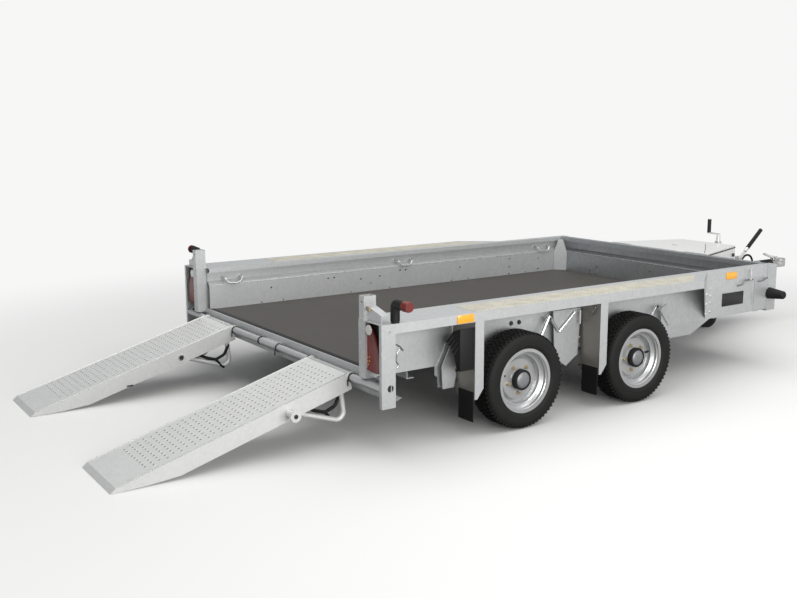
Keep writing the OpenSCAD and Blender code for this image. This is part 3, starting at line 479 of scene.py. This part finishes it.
# Lighter on the raised pips and darker between them, with noise dirt laid over.
pip_lift_plus_dirt = add_node(strip_tree, "ShaderNodeMath", {1: 0.35}, operation="MULTIPLY_ADD")
strip_relief = add_node(strip_tree, "ShaderNodeBump", {"Strength": 0.5, "Distance": 0.0015})
wire(strip_tree,
     (strip_where.outputs["Object"], pips.inputs["Vector"]),
     (strip_where.outputs["Object"], strip_dirt.inputs["Vector"]),
     (pips.outputs["Distance"], pip_rise.inputs["Value"]),
     (pip_rise.outputs["Result"], pip_lift_plus_dirt.inputs[0]),
     (strip_dirt.outputs["Fac"], pip_lift_plus_dirt.inputs[2]),
     (pip_lift_plus_dirt.outputs[0], strip_mix.inputs["Factor"]),
     (strip_mix.outputs["Result"], strip_shader.inputs["Base Color"]),
     (pip_rise.outputs["Result"], strip_relief.inputs["Height"]),
     (strip_relief.outputs["Normal"], strip_shader.inputs["Normal"]))
dress(strip_skin, "tread_strips")

# Splash plates. Folded zinc plates are bolted behind each wheel and raked ahead of the front one,
# bright zinc on their outer flanges and painted dark brown-grey across their fore and aft faces
# as painted shade and reflection, with rubber mudflaps hung below.
plate_zinc = zinc_skin("plate_zinc", (0.49, 0.505, 0.515), (0.68, 0.69, 0.69), 55.0, 0.4,
                       (0.34, 0.5), 0.5)
plate_tree = plate_zinc.node_tree
# Faces turned fore and aft are mixed towards dark brown-grey as painted shade and reflection;
# faces turned sideways keep the zinc.
plate_where = add_node(plate_tree, "ShaderNodeTexCoord")
plate_split = add_node(plate_tree, "ShaderNodeSeparateXYZ")
plate_side = add_node(plate_tree, "ShaderNodeMath", operation="ABSOLUTE")
plate_face_shade = add_node(plate_tree, "ShaderNodeMix", {"A": (0.26, 0.25, 0.225, 1)},
                       data_type="RGBA")
wire(plate_tree,
     (plate_where.outputs["Normal"], plate_split.inputs["Vector"]),
     (plate_split.outputs["X"], plate_side.inputs[0]),
     (plate_side.outputs[0], plate_face_shade.inputs["Factor"]),
     (plate_tree.nodes["Group"].outputs["Colour"], plate_face_shade.inputs["B"]),
     (plate_face_shade.outputs["Result"], plate_tree.nodes["Principled BSDF"].inputs["Base Color"]))
dress(plate_zinc, "mudguard_plates")
dress(black_rubber, "mudflaps")
rake_slope = 0.73
plate_bolts = bmesh.new()
for side in (-1, 1):
    for z in (380, 440, 500):
        add_bolt(plate_bolts, spot(side * 976, 2450, z), (side, rake_slope, 0), 7)
    for z in (380, 500):
        add_bolt(plate_bolts, spot(side * 1000, 1377, z), (0, -1, 0), 5)
fit_piece("plate_bolts", plate_bolts, "trailer", bright_zinc)

# Side reflectors. Amber prismatic plastic with a clear gloss face, stuck flat on each running
# board's lip and on each front panel.
hands = ((1, "right"), (-1, "left"))
panel_face = 970
board_face = 1155
amber_skin = plain_skin("amber_prism", (1.0, 0.36, 0.015), (1.0, 0.56, 0.05), 420.0,
                        (0.12, 0.25), 0.5, coat=0.6)
for side, word in hands:
    amber = bmesh.new()
    for face, y0, y1, z0, z1 in ((board_face, 425, 525, 589, 629),
                                 (panel_face, 2637, 2737, 572, 614)):
        add_plate(amber, (side * (face + 0.3), y0, z0), (side * (face + 4), y1, z1), 1.2)
    amber_piece = fit_piece(f"{word}_reflectors", amber, "trailer", amber_skin)
    if side == 1:
        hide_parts("side_reflectors")

# Tail lamps. A tall red teardrop lens with fine ribs in a black box between the rear posts, a
# clear round reversing lens at its head and five amber indicator dots near its foot.
black_plastic = plain_skin("black_plastic", (0.012, 0.012, 0.013), (0.03, 0.03, 0.03), 300.0,
                           (0.32, 0.45), 0.08)
red_skin = plain_skin("red_lens", (0.07, 0.008, 0.006), (0.27, 0.028, 0.02), 210.0,
                      (0.3, 0.5), 0.9, coat=0.12)
clear_skin = plain_skin("clear_lens", (0.62, 0.60, 0.55), (0.85, 0.84, 0.80), 380.0,
                        (0.1, 0.2), 0.5, coat=0.8)
dress(black_plastic, "tail_lamp_housings")
lens_back_y = 18
lens_deep = Vector((0, -0.010, 0))
reverse_x, reverse_y, reverse_z = 1040, 5.5, 592
dot_y = 4.2
lens_edge = [(1004, 412), (1004, 596), (1012, 611), (1026, 618), (1044, 610), (1080, 566),
             (1108, 520), (1121, 488), (1122, 420), (1116, 400), (1060, 398), (1016, 404)]
indicator_dots = [(1030, 462), (1046, 466), (1031, 446), (1047, 448), (1036, 430)]
for side, word in hands:
    lens = bmesh.new()
    outline = [lens.verts.new(spot(side * x, lens_back_y, z)) for x, z in lens_edge]
    grown = bmesh.ops.extrude_face_region(lens, geom=[lens.faces.new(outline)])
    front = [v for v in grown["geom"] if isinstance(v, bmesh.types.BMVert)]
    bmesh.ops.translate(lens, verts=front, vec=lens_deep)
    dome = [f for f in lens.faces if all(v in front for v in f.verts)]
    bmesh.ops.inset_region(lens, faces=dome, thickness=0.006, depth=0.004)
    lens_piece = fit_piece(f"{word}_tail_lens", lens, "trailer", red_skin, 50)
    if side == 1:
        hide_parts("tail_lamp_lenses")
    reverse = bmesh.new()
    add_turned(reverse, spot(side * reverse_x, reverse_y, reverse_z), (0, -1, 0), 25, 23, 4, 32)
    fit_piece(f"{word}_reverse_lens", reverse, "trailer", clear_skin)
    turn_lens = bmesh.new()
    for x, z in indicator_dots:
        add_turned(turn_lens, spot(side * x, dot_y, z), (0, -1, 0), 3.6, 2.6, 1.2, 12)
    fit_piece(f"{word}_turn_lens", turn_lens, "trailer", amber_skin)

# Marker lamps. A black rubber elbow stands on each running board's end and holds a red ribbed
# lens outwards, and a plain rubber cone sticks out of each front corner.
dress(black_rubber, "marker_arms")
elbow_x, elbow_y, elbow_foot_z, elbow_z = 1134, 88, 640, 720
cap_x, cap_rings, cap_pitch = 1211, 5, 8
cone_y, cone_z = 3064, 448
cone_steps = ((978.5, 37, 36, 8), (986, 36, 25, 96), (1082, 25, 20, 6))
for side, word in hands:
    elbow = bmesh.new()
    elbow_way = [(side * elbow_x, elbow_y, elbow_foot_z), (side * elbow_x, elbow_y, elbow_z),
                 (side * 1210, elbow_y, elbow_z)]
    add_bent_rod(elbow, elbow_way, 22, 16, 66)
    add_turned(elbow, spot(side * elbow_x, elbow_y, 632.5), (0, 0, 1), 20.4, 18, 14, 28)
    add_turned(elbow, spot(side * 1203, elbow_y, elbow_z), (side, 0, 0), 22, 24.5, 8, 28)
    elbow_piece = fit_piece(f"{word}_marker_elbow", elbow, "trailer", black_rubber)
    cone = bmesh.new()
    for x, wide, narrow, deep in cone_steps:
        add_turned(cone, spot(side * x, cone_y, cone_z), (side, 0, 0), wide, narrow, deep, 32)
    fit_piece(f"{word}_front_marker", cone, "trailer", black_rubber)
    cap = bmesh.new()
    for step in range(cap_rings):
        ring_x = side * (cap_x + step * cap_pitch)
        add_turned(cap, spot(ring_x, elbow_y, elbow_z), (side, 0, 0), 25, 22.5, cap_pitch, 32)
    cap_piece = fit_piece(f"{word}_marker_lens", cap, "trailer", red_skin)
    if side == 1:
        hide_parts("marker_arms")
        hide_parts("marker_lenses")

# Wheels. Each tyre is spun from a rounded section and carries rows of tread blocks, cut short
# at the shoulders. The silver rim keeps five brass nuts, a domed cap in a black ring and a valve.
tyre_skin = plain_skin("tyre_rubber", (0.006, 0.006, 0.006), (0.015, 0.0145, 0.0135), 26.0,
                       (0.6, 0.8), 0.25, specular=0.3)
silver_skin = plain_skin("silver_rim", (0.52, 0.525, 0.53), (0.66, 0.665, 0.67), 9.0,
                         (0.24, 0.36), 0.04, 0.6, 0.5, 0.3)
brass_skin = plain_skin("passivated_brass", (0.46, 0.39, 0.26), (0.64, 0.57, 0.42), 240.0,
                        (0.3, 0.5), 0.1, 0.8)
cap_skin = plain_skin("hub_cap_grey", (0.20, 0.205, 0.21), (0.33, 0.335, 0.34), 60.0,
                      (0.35, 0.5), 0.06, 0.4)
axle_height = 248
tyre_middle = 1096
disc_face = 1106
nut_circle, nut_count = 72, 5
axles = (("rear", 856, 0.873, 2.85), ("front", 1686, 0.70, 0.12))
tyre_half = [(154, 60), (166.3, 66.6), (172, 70), (178, 73.4), (182, 74.6), (184, 75.6),
             (187, 75.2), (196, 75.9), (210, 76), (222, 74.2), (231, 70.8), (237, 66),
             (240.5, 60), (242, 52)]
tyre_ring = (tyre_half + [(242.6, 30), (242.8, 0), (242.6, -30)]
             + [(r, -w) for r, w in reversed(tyre_half)])
hub_ring = [(42, 20), (53, 20), (53, 45), (50, 49), (42, 49)]
cap_ring = [(0.01, 30), (41.6, 30), (41.6, 46), (38, 50), (27, 53), (14, 54.3), (0.01, 54.6)]
rim_steps = [[(150.5, 45), (145, 49), (145, 53), (150.5, 57)],
             [(134, 18), (127, 21), (127, 25), (134, 28)],
             [(99, 8), (100, 12.5), (105, 12.5), (108, 2)]]
tread_rows = [(0, 17, 17, 0.0), (23, 15, 15, 0.5), (-23, 15, 15, 0.5), (44, 17, 16, 0.2),
              (-44, 17, 16, 0.7), (61, 11, 12, 0.7), (-61, 11, 12, 0.2)]
tread_blocks = 64
block_deep = 6.4


def add_tread(shape, middle_x, axle_y):
    for step in range(tread_blocks):
        for across, wide, long, shift in tread_rows:
            shoulder = abs(across) >= 50
            turn = 2 * math.pi * (step + shift) / tread_blocks
            top = 244.6 if shoulder else 247.6
            lean = math.copysign(0.42, across) if shoulder else 0
            skew = 0.3 if across > 0 else -0.3
            place = (Matrix.Translation(spot(middle_x, axle_y, axle_height))
                     @ Matrix.Rotation(turn, 4, "X")
                     @ Matrix.Translation((across / 1000, 0, (top - block_deep / 2) / 1000))
                     @ Matrix.Rotation(lean, 4, "Y")
                     @ Matrix.Rotation(skew, 4, "Z"))
            size = Matrix.Diagonal((wide / 1000, long / 1000, block_deep / 1000, 1))
            bmesh.ops.create_cube(shape, size=1, matrix=place @ size)


def add_spun(shape, ring, side, axle_y, steps=96):
    corners = [shape.verts.new(spot(side * (tyre_middle + w), axle_y, axle_height + r))
               for r, w in ring]
    edges = [shape.edges.new((a, b)) for a, b in zip(corners, corners[1:] + corners[:1])]
    bmesh.ops.spin(shape, geom=corners + edges, cent=spot(0, axle_y, axle_height), axis=(1, 0, 0),
                   angle=2 * math.pi, steps=steps, use_merge=True, use_duplicate=False)


for end, axle_y, nut_turn, valve_turn in axles:
    for side, word in hands:
        body = f"{end}_{word}_wheel"
        rubber = bmesh.new()
        add_spun(rubber, tyre_ring, side, axle_y)
        bmesh.ops.remove_doubles(rubber, verts=rubber.verts, dist=1e-6)
        add_tread(rubber, side * tyre_middle, axle_y)
        tyre_piece = fit_piece(f"{body}_tyre", rubber, body, tyre_skin, 40)
        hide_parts(f"{end}_{word}_tyre")
        nuts = bmesh.new()
        for step in range(nut_count):
            turn = nut_turn + 2 * math.pi * step / nut_count
            y = axle_y + nut_circle * math.cos(turn)
            z = axle_height + nut_circle * math.sin(turn)
            add_turned(nuts, spot(side * disc_face, y, z), (side, 0, 0), 11, 10.4, 4, 24)
            add_turned(nuts, spot(side * (disc_face + 4), y, z), (side, 0, 0), 9.4, 9, 11, 6)
            add_turned(nuts, spot(side * (disc_face + 15), y, z), (side, 0, 0), 5, 4.5, 6, 12)
        fit_piece(f"{body}_nuts", nuts, body, brass_skin)
        ring = bmesh.new()
        add_spun(ring, hub_ring, side, axle_y, 64)
        fit_piece(f"{body}_hub_ring", ring, body, black_rubber)
        dome = bmesh.new()
        add_spun(dome, cap_ring, side, axle_y, 64)
        bmesh.ops.remove_doubles(dome, verts=dome.verts, dist=2e-5)
        fit_piece(f"{body}_hub_cap", dome, body, cap_skin)
        steps = bmesh.new()
        for step_ring in rim_steps:
            add_spun(steps, step_ring, side, axle_y, 72)
        fit_piece(f"{body}_rim_steps", steps, body, silver_skin, 50)
        valve = bmesh.new()
        valve_out = (math.cos(valve_turn), math.sin(valve_turn))
        for reach, thick in ((96, 6), (112, 4)):
            y, z = axle_y + reach * valve_out[0], axle_height + reach * valve_out[1]
            add_turned(valve, spot(side * disc_face, y, z), (side, *valve_out),
                       thick, thick * 0.85, 17, 12)
        fit_piece(f"{body}_valve", valve, body, black_rubber)
        dress(silver_skin, f"{end}_{word}_rim")

# Ramps. Folded sheet dipped in zinc, with rows of small holes whose raised rims grip over all but
# the plain toe. Each slides and turns on a sleeve round the rear bar, and a tube welded across it
# carries the folded prop, which a black rubber strap with a loose tail holds up.
pale_zinc = zinc_skin("pale_zinc", (0.62, 0.63, 0.625), (0.80, 0.805, 0.79), 65.0, 0.4,
                      (0.38, 0.55), 0.3)
hole_dark = plain_skin("hole_shade", (0.10, 0.10, 0.10), (0.17, 0.17, 0.17), 60.0)
dress(pale_zinc, "right_ramp", "left_ramp")
dress(bright_zinc, "right_ramp_sleeve", "left_ramp_sleeve")
ramp_inner = 461
ramp_rise = 330 / 1144
ramp_top_z = 352
grip_up = Vector((0, -ramp_rise, 1)).normalized()
grip_first_y, grip_rows, row_pitch, hole_pitch = -985, 30, 32.1, 34
tube_y, tube_z = -318, 207
bar_y, bar_z = 18, 329
centre_ring_x = 104
collar_xs = (445, 866)
strap_way = [(-212, 206), (-150, 176), (-95, 159), (-40, 182), (-12, 240)]
strap_tail = [(-95, 159), (-66, 122), (-44, 106)]


def add_bar_clip(shape, x0, x1):
    add_plate(shape, (x0, -8, 290), (x1, -4, 322), 1)


for side, word in hands:
    body = f"{word}_ramp_flap"
    rims, holes = bmesh.new(), bmesh.new()
    for row in range(grip_rows):
        y = grip_first_y + row * row_pitch
        full_row = row % 2
        for column in range(10 if full_row else 9):
            x = side * (ramp_inner + 46 + (0 if full_row else 17) + column * hole_pitch)
            place = spot(x, y, ramp_top_z + ramp_rise * (y - 6))
            add_turned(rims, place, grip_up, 7.6, 5.8, 1.2, 12)
            add_turned(holes, place + grip_up * 0.0009, grip_up, 5, 5, 0.5, 10)
    fit_piece(f"{word}_ramp_grip_rims", rims, body, pale_zinc, 20)
    fit_piece(f"{word}_ramp_grip_holes", holes, body, hole_dark)
    trim = bmesh.new()
    add_turned(trim, spot(side * 927, tube_y, tube_z), (side, 0, 0), 11, 11, 0.8, 20)
    add_turned(trim, spot(side * 460.8, tube_y, tube_z), (-side, 0, 0), 14, 13, 6.5, 20)
    add_plate(trim, (side * 457, -640, 84), (side * 470, -604, 92), 1)
    fit_piece(f"{word}_ramp_tube_plugs", trim, body, black_plastic)
    welds = bmesh.new()
    for x, out in ((460, -side), (858, side)):
        add_turned(welds, spot(side * x, tube_y, tube_z), (out, 0, 0), 19, 16.5, 5, 20)
    fit_piece(f"{word}_ramp_tube_welds", welds, body, bright_zinc)
    # Thin bright rods along the top edge folds of each ramp are painted highlight.
    folds = bmesh.new()
    for x in (462, 856):
        toe = (side * x, -1125, ramp_top_z + ramp_rise * -1131)
        add_bent_rod(folds, [toe, (side * x, -4, ramp_top_z - 2)], 2.4, 6)
    fit_piece(f"{word}_ramp_fold_highlights", folds, body, bright_zinc)
    strap = bmesh.new()
    strap_x = 800 if side == 1 else -488
    for thick, bend, way in ((9, 30, strap_way), (8, 12, strap_tail)):
        add_bent_rod(strap, [(strap_x, y, z) for y, z in way], thick, 8, bend)
    fit_piece(f"{word}_prop_strap", strap, body, black_rubber)
    collars = bmesh.new()
    for x in collar_xs:
        add_turned(collars, spot(side * x, bar_y, bar_z), (side, 0, 0), 24, 24, 5, 28)
        add_bar_clip(collars, side * (x - 4), side * (x + 6))
    slider = f"{word}_ramp_slider"
    fit_piece(f"{word}_sleeve_collars", collars, slider, black_plastic)
bar_rings = bmesh.new()
for side in (-1, 1):
    add_turned(bar_rings, spot(side * centre_ring_x, bar_y, bar_z), (side, 0, 0), 24, 24, 5, 28)
add_bar_clip(bar_rings, centre_ring_x - 4, centre_ring_x + 6)
fit_piece("bar_stop_rings", bar_rings, "trailer", black_plastic)

# Side fittings. Dark bolts sit above the wheels, bent wire hooks hang inside the rear post and
# behind the front wheel, and zinc hangers are folded in a zigzag between and ahead of the wheels.
wall_side_bolts = [(918, 503), (972, 503), (1174, 502), (1188, 508)]
post_hook = [(1146, 74, 539), (1146, 108, 520), (1146, 124, 500), (1146, 106, 512),
             (1146, 88, 492), (1146, 84, 454), (1146, 98, 436), (1146, 90, 424)]
wheel_hook = [(1121, 1375, 574), (1124, 1368, 560), (1112, 1364, 536), (1096, 1366, 516),
              (1090, 1370, 524)]
zigzag = [(1083, 430), (1138, 524), (1207, 432), (1321, 526)]
peak = [(1912, 428), (1970, 494), (2074, 365)]
side_bolts, hooks, hanger_folds = bmesh.new(), bmesh.new(), bmesh.new()
for side in (-1, 1):
    for y, z in wall_side_bolts:
        add_bolt(side_bolts, spot(side * panel_face, y, z), (side, 0, 0), 9)
    # Two flat dark discs low on the splash plate behind the front wheel are painted shade in its
    # two small holes.
    for x in (1010, 1090):
        add_turned(side_bolts, spot(side * x, 1376.8, 226), (0, -1, 0), 8, 8, 0.8, 16)
    for wire_way, thick, bend in ((post_hook, 3.5, 8), (wheel_hook, 4, 10)):
        add_bent_rod(hooks, [(side * x, y, z) for x, y, z in wire_way], thick, 8, bend)
    for fold, x0, x1, thick in ((zigzag, 1020, 1018, 9), (peak, 1018, 1016, 6)):
        for (y0, z0), (y1, z1) in zip(fold, fold[1:]):
            add_bent_rod(hanger_folds, [(side * x0, y0, z0), (side * x1, y1, z1)], thick, 8)
    add_bolt(side_bolts, spot(side * 1022, 1138, 510), (side, 0, 0), 8)
    add_bolt(side_bolts, spot(side * 1022, 1970, 486), (side, 0, 0), 6)
fit_piece("side_bolts", side_bolts, "trailer", dark_steel)
fit_piece("wire_hooks", hooks, "trailer", stud_zinc)
fit_piece("hanger_folds", hanger_folds, "trailer", bright_zinc)

# Front panels. A blank dark sign plate, a column of rivets by the raked plate, two bent rope
# hooks and a shallow upright rib stand ahead of the running board on both sides.
panel_rivets = [(2500, 530), (2500, 485), (2500, 442), (2500, 388), (2978, 482), (2978, 560)]
rope_hook_bends = [[(974, 2745, 524), (990, 2772, 532), (990, 2803, 553), (977, 2890, 551)],
                   [(982, 2941, 533), (994, 2966, 540), (992, 3016, 554)]]
front_rivets, rope_bends, sign, ribs = bmesh.new(), bmesh.new(), bmesh.new(), bmesh.new()
for side in (-1, 1):
    for y, z in panel_rivets:
        add_rivet(front_rivets, spot(side * panel_face, y, z), (side, 0, 0), 9)
    for bends in rope_hook_bends:
        add_bent_rod(rope_bends, [(side * x, y, z) for x, y, z in bends], 5, 8, 12)
    add_plate(sign, (side * 970.3, 2608, 406), (side * 972.8, 2812, 487), 1)
    add_plate(ribs, (side * 970, 2895, 396), (side * 973, 2908, 556), 1.2)
fit_piece("front_rivets", front_rivets, "trailer", frame_zinc)
fit_piece("rope_bends", rope_bends, "trailer", stud_zinc)
fit_piece("blank_sign_plates", sign, "trailer", black_plastic)
fit_piece("front_ribs", ribs, "trailer", sheet_zinc)

# Posts and hood. Rivets run down the rear posts, a black plug sits in the round hole near the
# foot of each outer one, and a tan clip shows under the lamp's hood.
post_middle_y = 48
rivet_columns = ((972, 7, (636, 518, 428, 388)), (1146, 5, (420, 500, 580)))
post_rivets, post_plugs = bmesh.new(), bmesh.new()
for side in (-1, 1):
    for x, size, heights in rivet_columns:
        for z in heights:
            add_rivet(post_rivets, spot(side * x, 0, z), (0, -1, 0), size)
    add_bolt(post_rivets, spot(side * board_face, post_middle_y, 600), (side, 0, 0), 6)
    add_turned(post_plugs, spot(side * 1146, post_middle_y, 333), (side, 0, 0), 16.5, 16.5, 4, 28)
fit_piece("post_rivets", post_rivets, "trailer", frame_zinc)
fit_piece("post_plugs", post_plugs, "trailer", black_plastic)
clip_skin = plain_skin("tan_clip", (0.32, 0.25, 0.17), (0.46, 0.38, 0.28), 120.0, (0.4, 0.6), 0.1)
hood_clips = bmesh.new()
for side in (-1, 1):
    add_plate(hood_clips, (side * 1020, 8, 676), (side * 1040, 20, 698), 2)
fit_piece("hood_clips", hood_clips, "trailer", clip_skin)

# Toolbox. A pale zinc box stands on the drawbar. Its flat lid sits over a thin black strip
# painted as the shadow in the gap under its rim, and holds a thin dark line near its right edge
# and a lock slot, and a black knob sits near each front corner.
box_zinc = zinc_skin("box_zinc", (0.72, 0.73, 0.72), (0.88, 0.885, 0.87), 65.0, 0.35,
                     (0.38, 0.55), 0.2)
dress(box_zinc, "toolbox", "toolbox_lid")
box_rear_y, box_nose_y, box_rear_x, box_nose_x = 3118, 3678, 435, 244
lid_shade_z0, lid_shade_z1 = 615, 623.5
box_side = Vector((box_rear_x - box_nose_x, box_nose_y - box_rear_y, 0)) / 1000
side_turn = Matrix.Rotation(math.atan2(box_side.x, box_side.y), 4, "Z")
side_middle_y = (box_rear_y + box_nose_y) / 2
side_half = box_side.length * 500
# Black strip round the box top painted as the shadow under the lid's rim.
lid_gap_shade = bmesh.new()
for side in (-1, 1):
    swing = side_turn if side == 1 else side_turn.inverted()
    middle_x = side * (box_rear_x + box_nose_x) / 2
    add_plate(lid_gap_shade, (middle_x - 1.6, side_middle_y - side_half, lid_shade_z0),
              (middle_x + 1.6, side_middle_y + side_half, lid_shade_z1), 0.5, swing)
add_plate(lid_gap_shade, (-box_nose_x, box_nose_y - 0.5, lid_shade_z0),
          (box_nose_x, box_nose_y + 1.5, lid_shade_z1), 0.5)
fit_piece("toolbox_lid_shade", lid_gap_shade, "trailer", black_rubber)
lid_marks = bmesh.new()
lid_line_z = 633.4
lock_slot = ((-50, 3331, 633.5), (-6, 3341, 634.8))
# A thin dark line drawn on the lid's top near its right edge.
lid_dark_line = [(392, 3150, lid_line_z), (240, 3350, lid_line_z), (70, 3560, lid_line_z)]
add_bent_rod(lid_marks, lid_dark_line, 2.2, 8)
add_plate(lid_marks, *lock_slot, 0.5)
fit_piece("lid_marks", lid_marks, "lid", dark_steel)
knobs = bmesh.new()
knob_x, knob_y, knob_z = 262, 3626, 570
knob_out = Vector((box_side.y, box_side.x, 0)).normalized()
for side in (-1, 1):
    out = Vector((side * knob_out.x, knob_out.y, 0))
    add_turned(knobs, spot(side * knob_x, knob_y, knob_z), out, 13, 12, 14, 24)
fit_piece("toolbox_knobs", knobs, "trailer", black_plastic)

# Handbrake and jockey wheel. Bright plated levers and tubes, with black moulded sleeves of
# shallow finger rings over the handbrake's upper half and the jockey crank's handle.
dress(frame_zinc, "jockey_tube", "jockey_leg")
dress(bright_zinc, "handbrake_lever", "jockey_fork", "jockey_crank")
dress(black_rubber, "jockey_wheel")
grip_pitch, brake_rings, crank_rings = 12.6, 16, 8
crank_x, crank_y, crank_z = -54, 3752, 697
brake_lean = math.radians(49.5)
brake_way = Vector((0, math.sin(brake_lean), math.cos(brake_lean)))
brake_foot = spot(78, 4020, 547)
brake_grip = bmesh.new()
for step in range(brake_rings):
    ring_foot = brake_foot + brake_way * (35 + grip_pitch * step) / 1000
    add_turned(brake_grip, ring_foot, brake_way, 15.2, 14.6, 12.8, 24)
fit_piece("handbrake_grip", brake_grip, "handbrake", black_rubber, 50)
crank_grip = bmesh.new()
for step in range(crank_rings):
    ring_foot = spot(crank_x, crank_y, crank_z + grip_pitch * step)
    add_turned(crank_grip, ring_foot, (0, 0, 1), 14.2, 13.6, 12.8, 24)
fit_piece("jockey_crank_grip", crank_grip, "jockey_winder", black_rubber, 50)

# Coupling. A cast head and housing, zinc coated and rougher than the sheet, with bolts through
# the head's cheeks, a rubber gaiter of soft folds behind it and the looped supply lead.
cast_zinc = zinc_skin("cast_zinc", (0.40, 0.41, 0.40), (0.62, 0.62, 0.60), 140.0, 1.2,
                      (0.35, 0.55), 0.7)
dress(cast_zinc, "coupling_head", "overrun_housing")
dress(bright_zinc, "coupling_handle")
dress(black_rubber, "coupling_gaiter", "supply_lead")
cheek_bolts = ((22, 4501, 452, 8), (38, 4530, 404, 10))
head_bolts = bmesh.new()
for side in (-1, 1):
    for x, y, z, size in cheek_bolts:
        add_bolt(head_bolts, spot(side * x, y, z), (side, 0, 0), size)
fit_piece("coupling_bolts", head_bolts, "trailer", bright_zinc)
shaft_z, gaiter_y, fold_pitch, fold_count = 406, 4304, 18.6, 8
gaiter_ring = []
for step in range(fold_count):
    y = gaiter_y + step * fold_pitch
    gaiter_ring += [(y, 30), (y + 6, 37.4), (y + 11, 37.4)]
gaiter = bmesh.new()
corners = [gaiter.verts.new(spot(0, y, shaft_z + r)) for y, r in gaiter_ring]
edges = [gaiter.edges.new((a, b)) for a, b in zip(corners, corners[1:])]
bmesh.ops.spin(gaiter, geom=corners + edges, cent=spot(0, 0, shaft_z), axis=(0, 1, 0),
               angle=2 * math.pi, steps=40, use_merge=True, use_duplicate=False)
bmesh.ops.remove_doubles(gaiter, verts=gaiter.verts, dist=1e-6)
bmesh.ops.holes_fill(gaiter, edges=gaiter.edges)
gaiter_piece = fit_piece("coupling_gaiter_folds", gaiter, "trailer", black_rubber)
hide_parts("coupling_gaiter")

# Wheel wedge. A black moulded block stands on edge against the splash plate, with coarse
# diagonal ribs on the face that is turned to the rear.
wedge_face_y = 449
wedge_deep = 0.086
rib_count, rib_pitch = 5, 16
wedge_edge = [(1026, 486), (1088, 540), (1149, 560), (1149, 352), (1124, 350), (1086, 452)]
wedge, wedge_ribs = bmesh.new(), bmesh.new()
outline = [wedge.verts.new(spot(x, wedge_face_y, z)) for x, z in wedge_edge]
grown = bmesh.ops.extrude_face_region(wedge, geom=[wedge.faces.new(outline)])
moved = [v for v in grown["geom"] if isinstance(v, bmesh.types.BMVert)]
bmesh.ops.translate(wedge, verts=moved, vec=(0, wedge_deep, 0))
bmesh.ops.bevel(wedge, geom=wedge.edges[:], offset=0.004, affect="EDGES", segments=2, profile=0.5,
                material=-1)
wedge_piece = fit_piece("wheel_wedge", wedge, "trailer", black_rubber)
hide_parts("wheel_chock")
for step in range(rib_count):
    shift = step * rib_pitch
    rib_ends = [(1040 + shift, wedge_face_y, 484 - shift),
                (1096 + shift * 0.65, wedge_face_y, 536 - shift)]
    add_bent_rod(wedge_ribs, rib_ends, 4, 6)
fit_piece("wheel_wedge_ribs", wedge_ribs, "trailer", black_plastic)
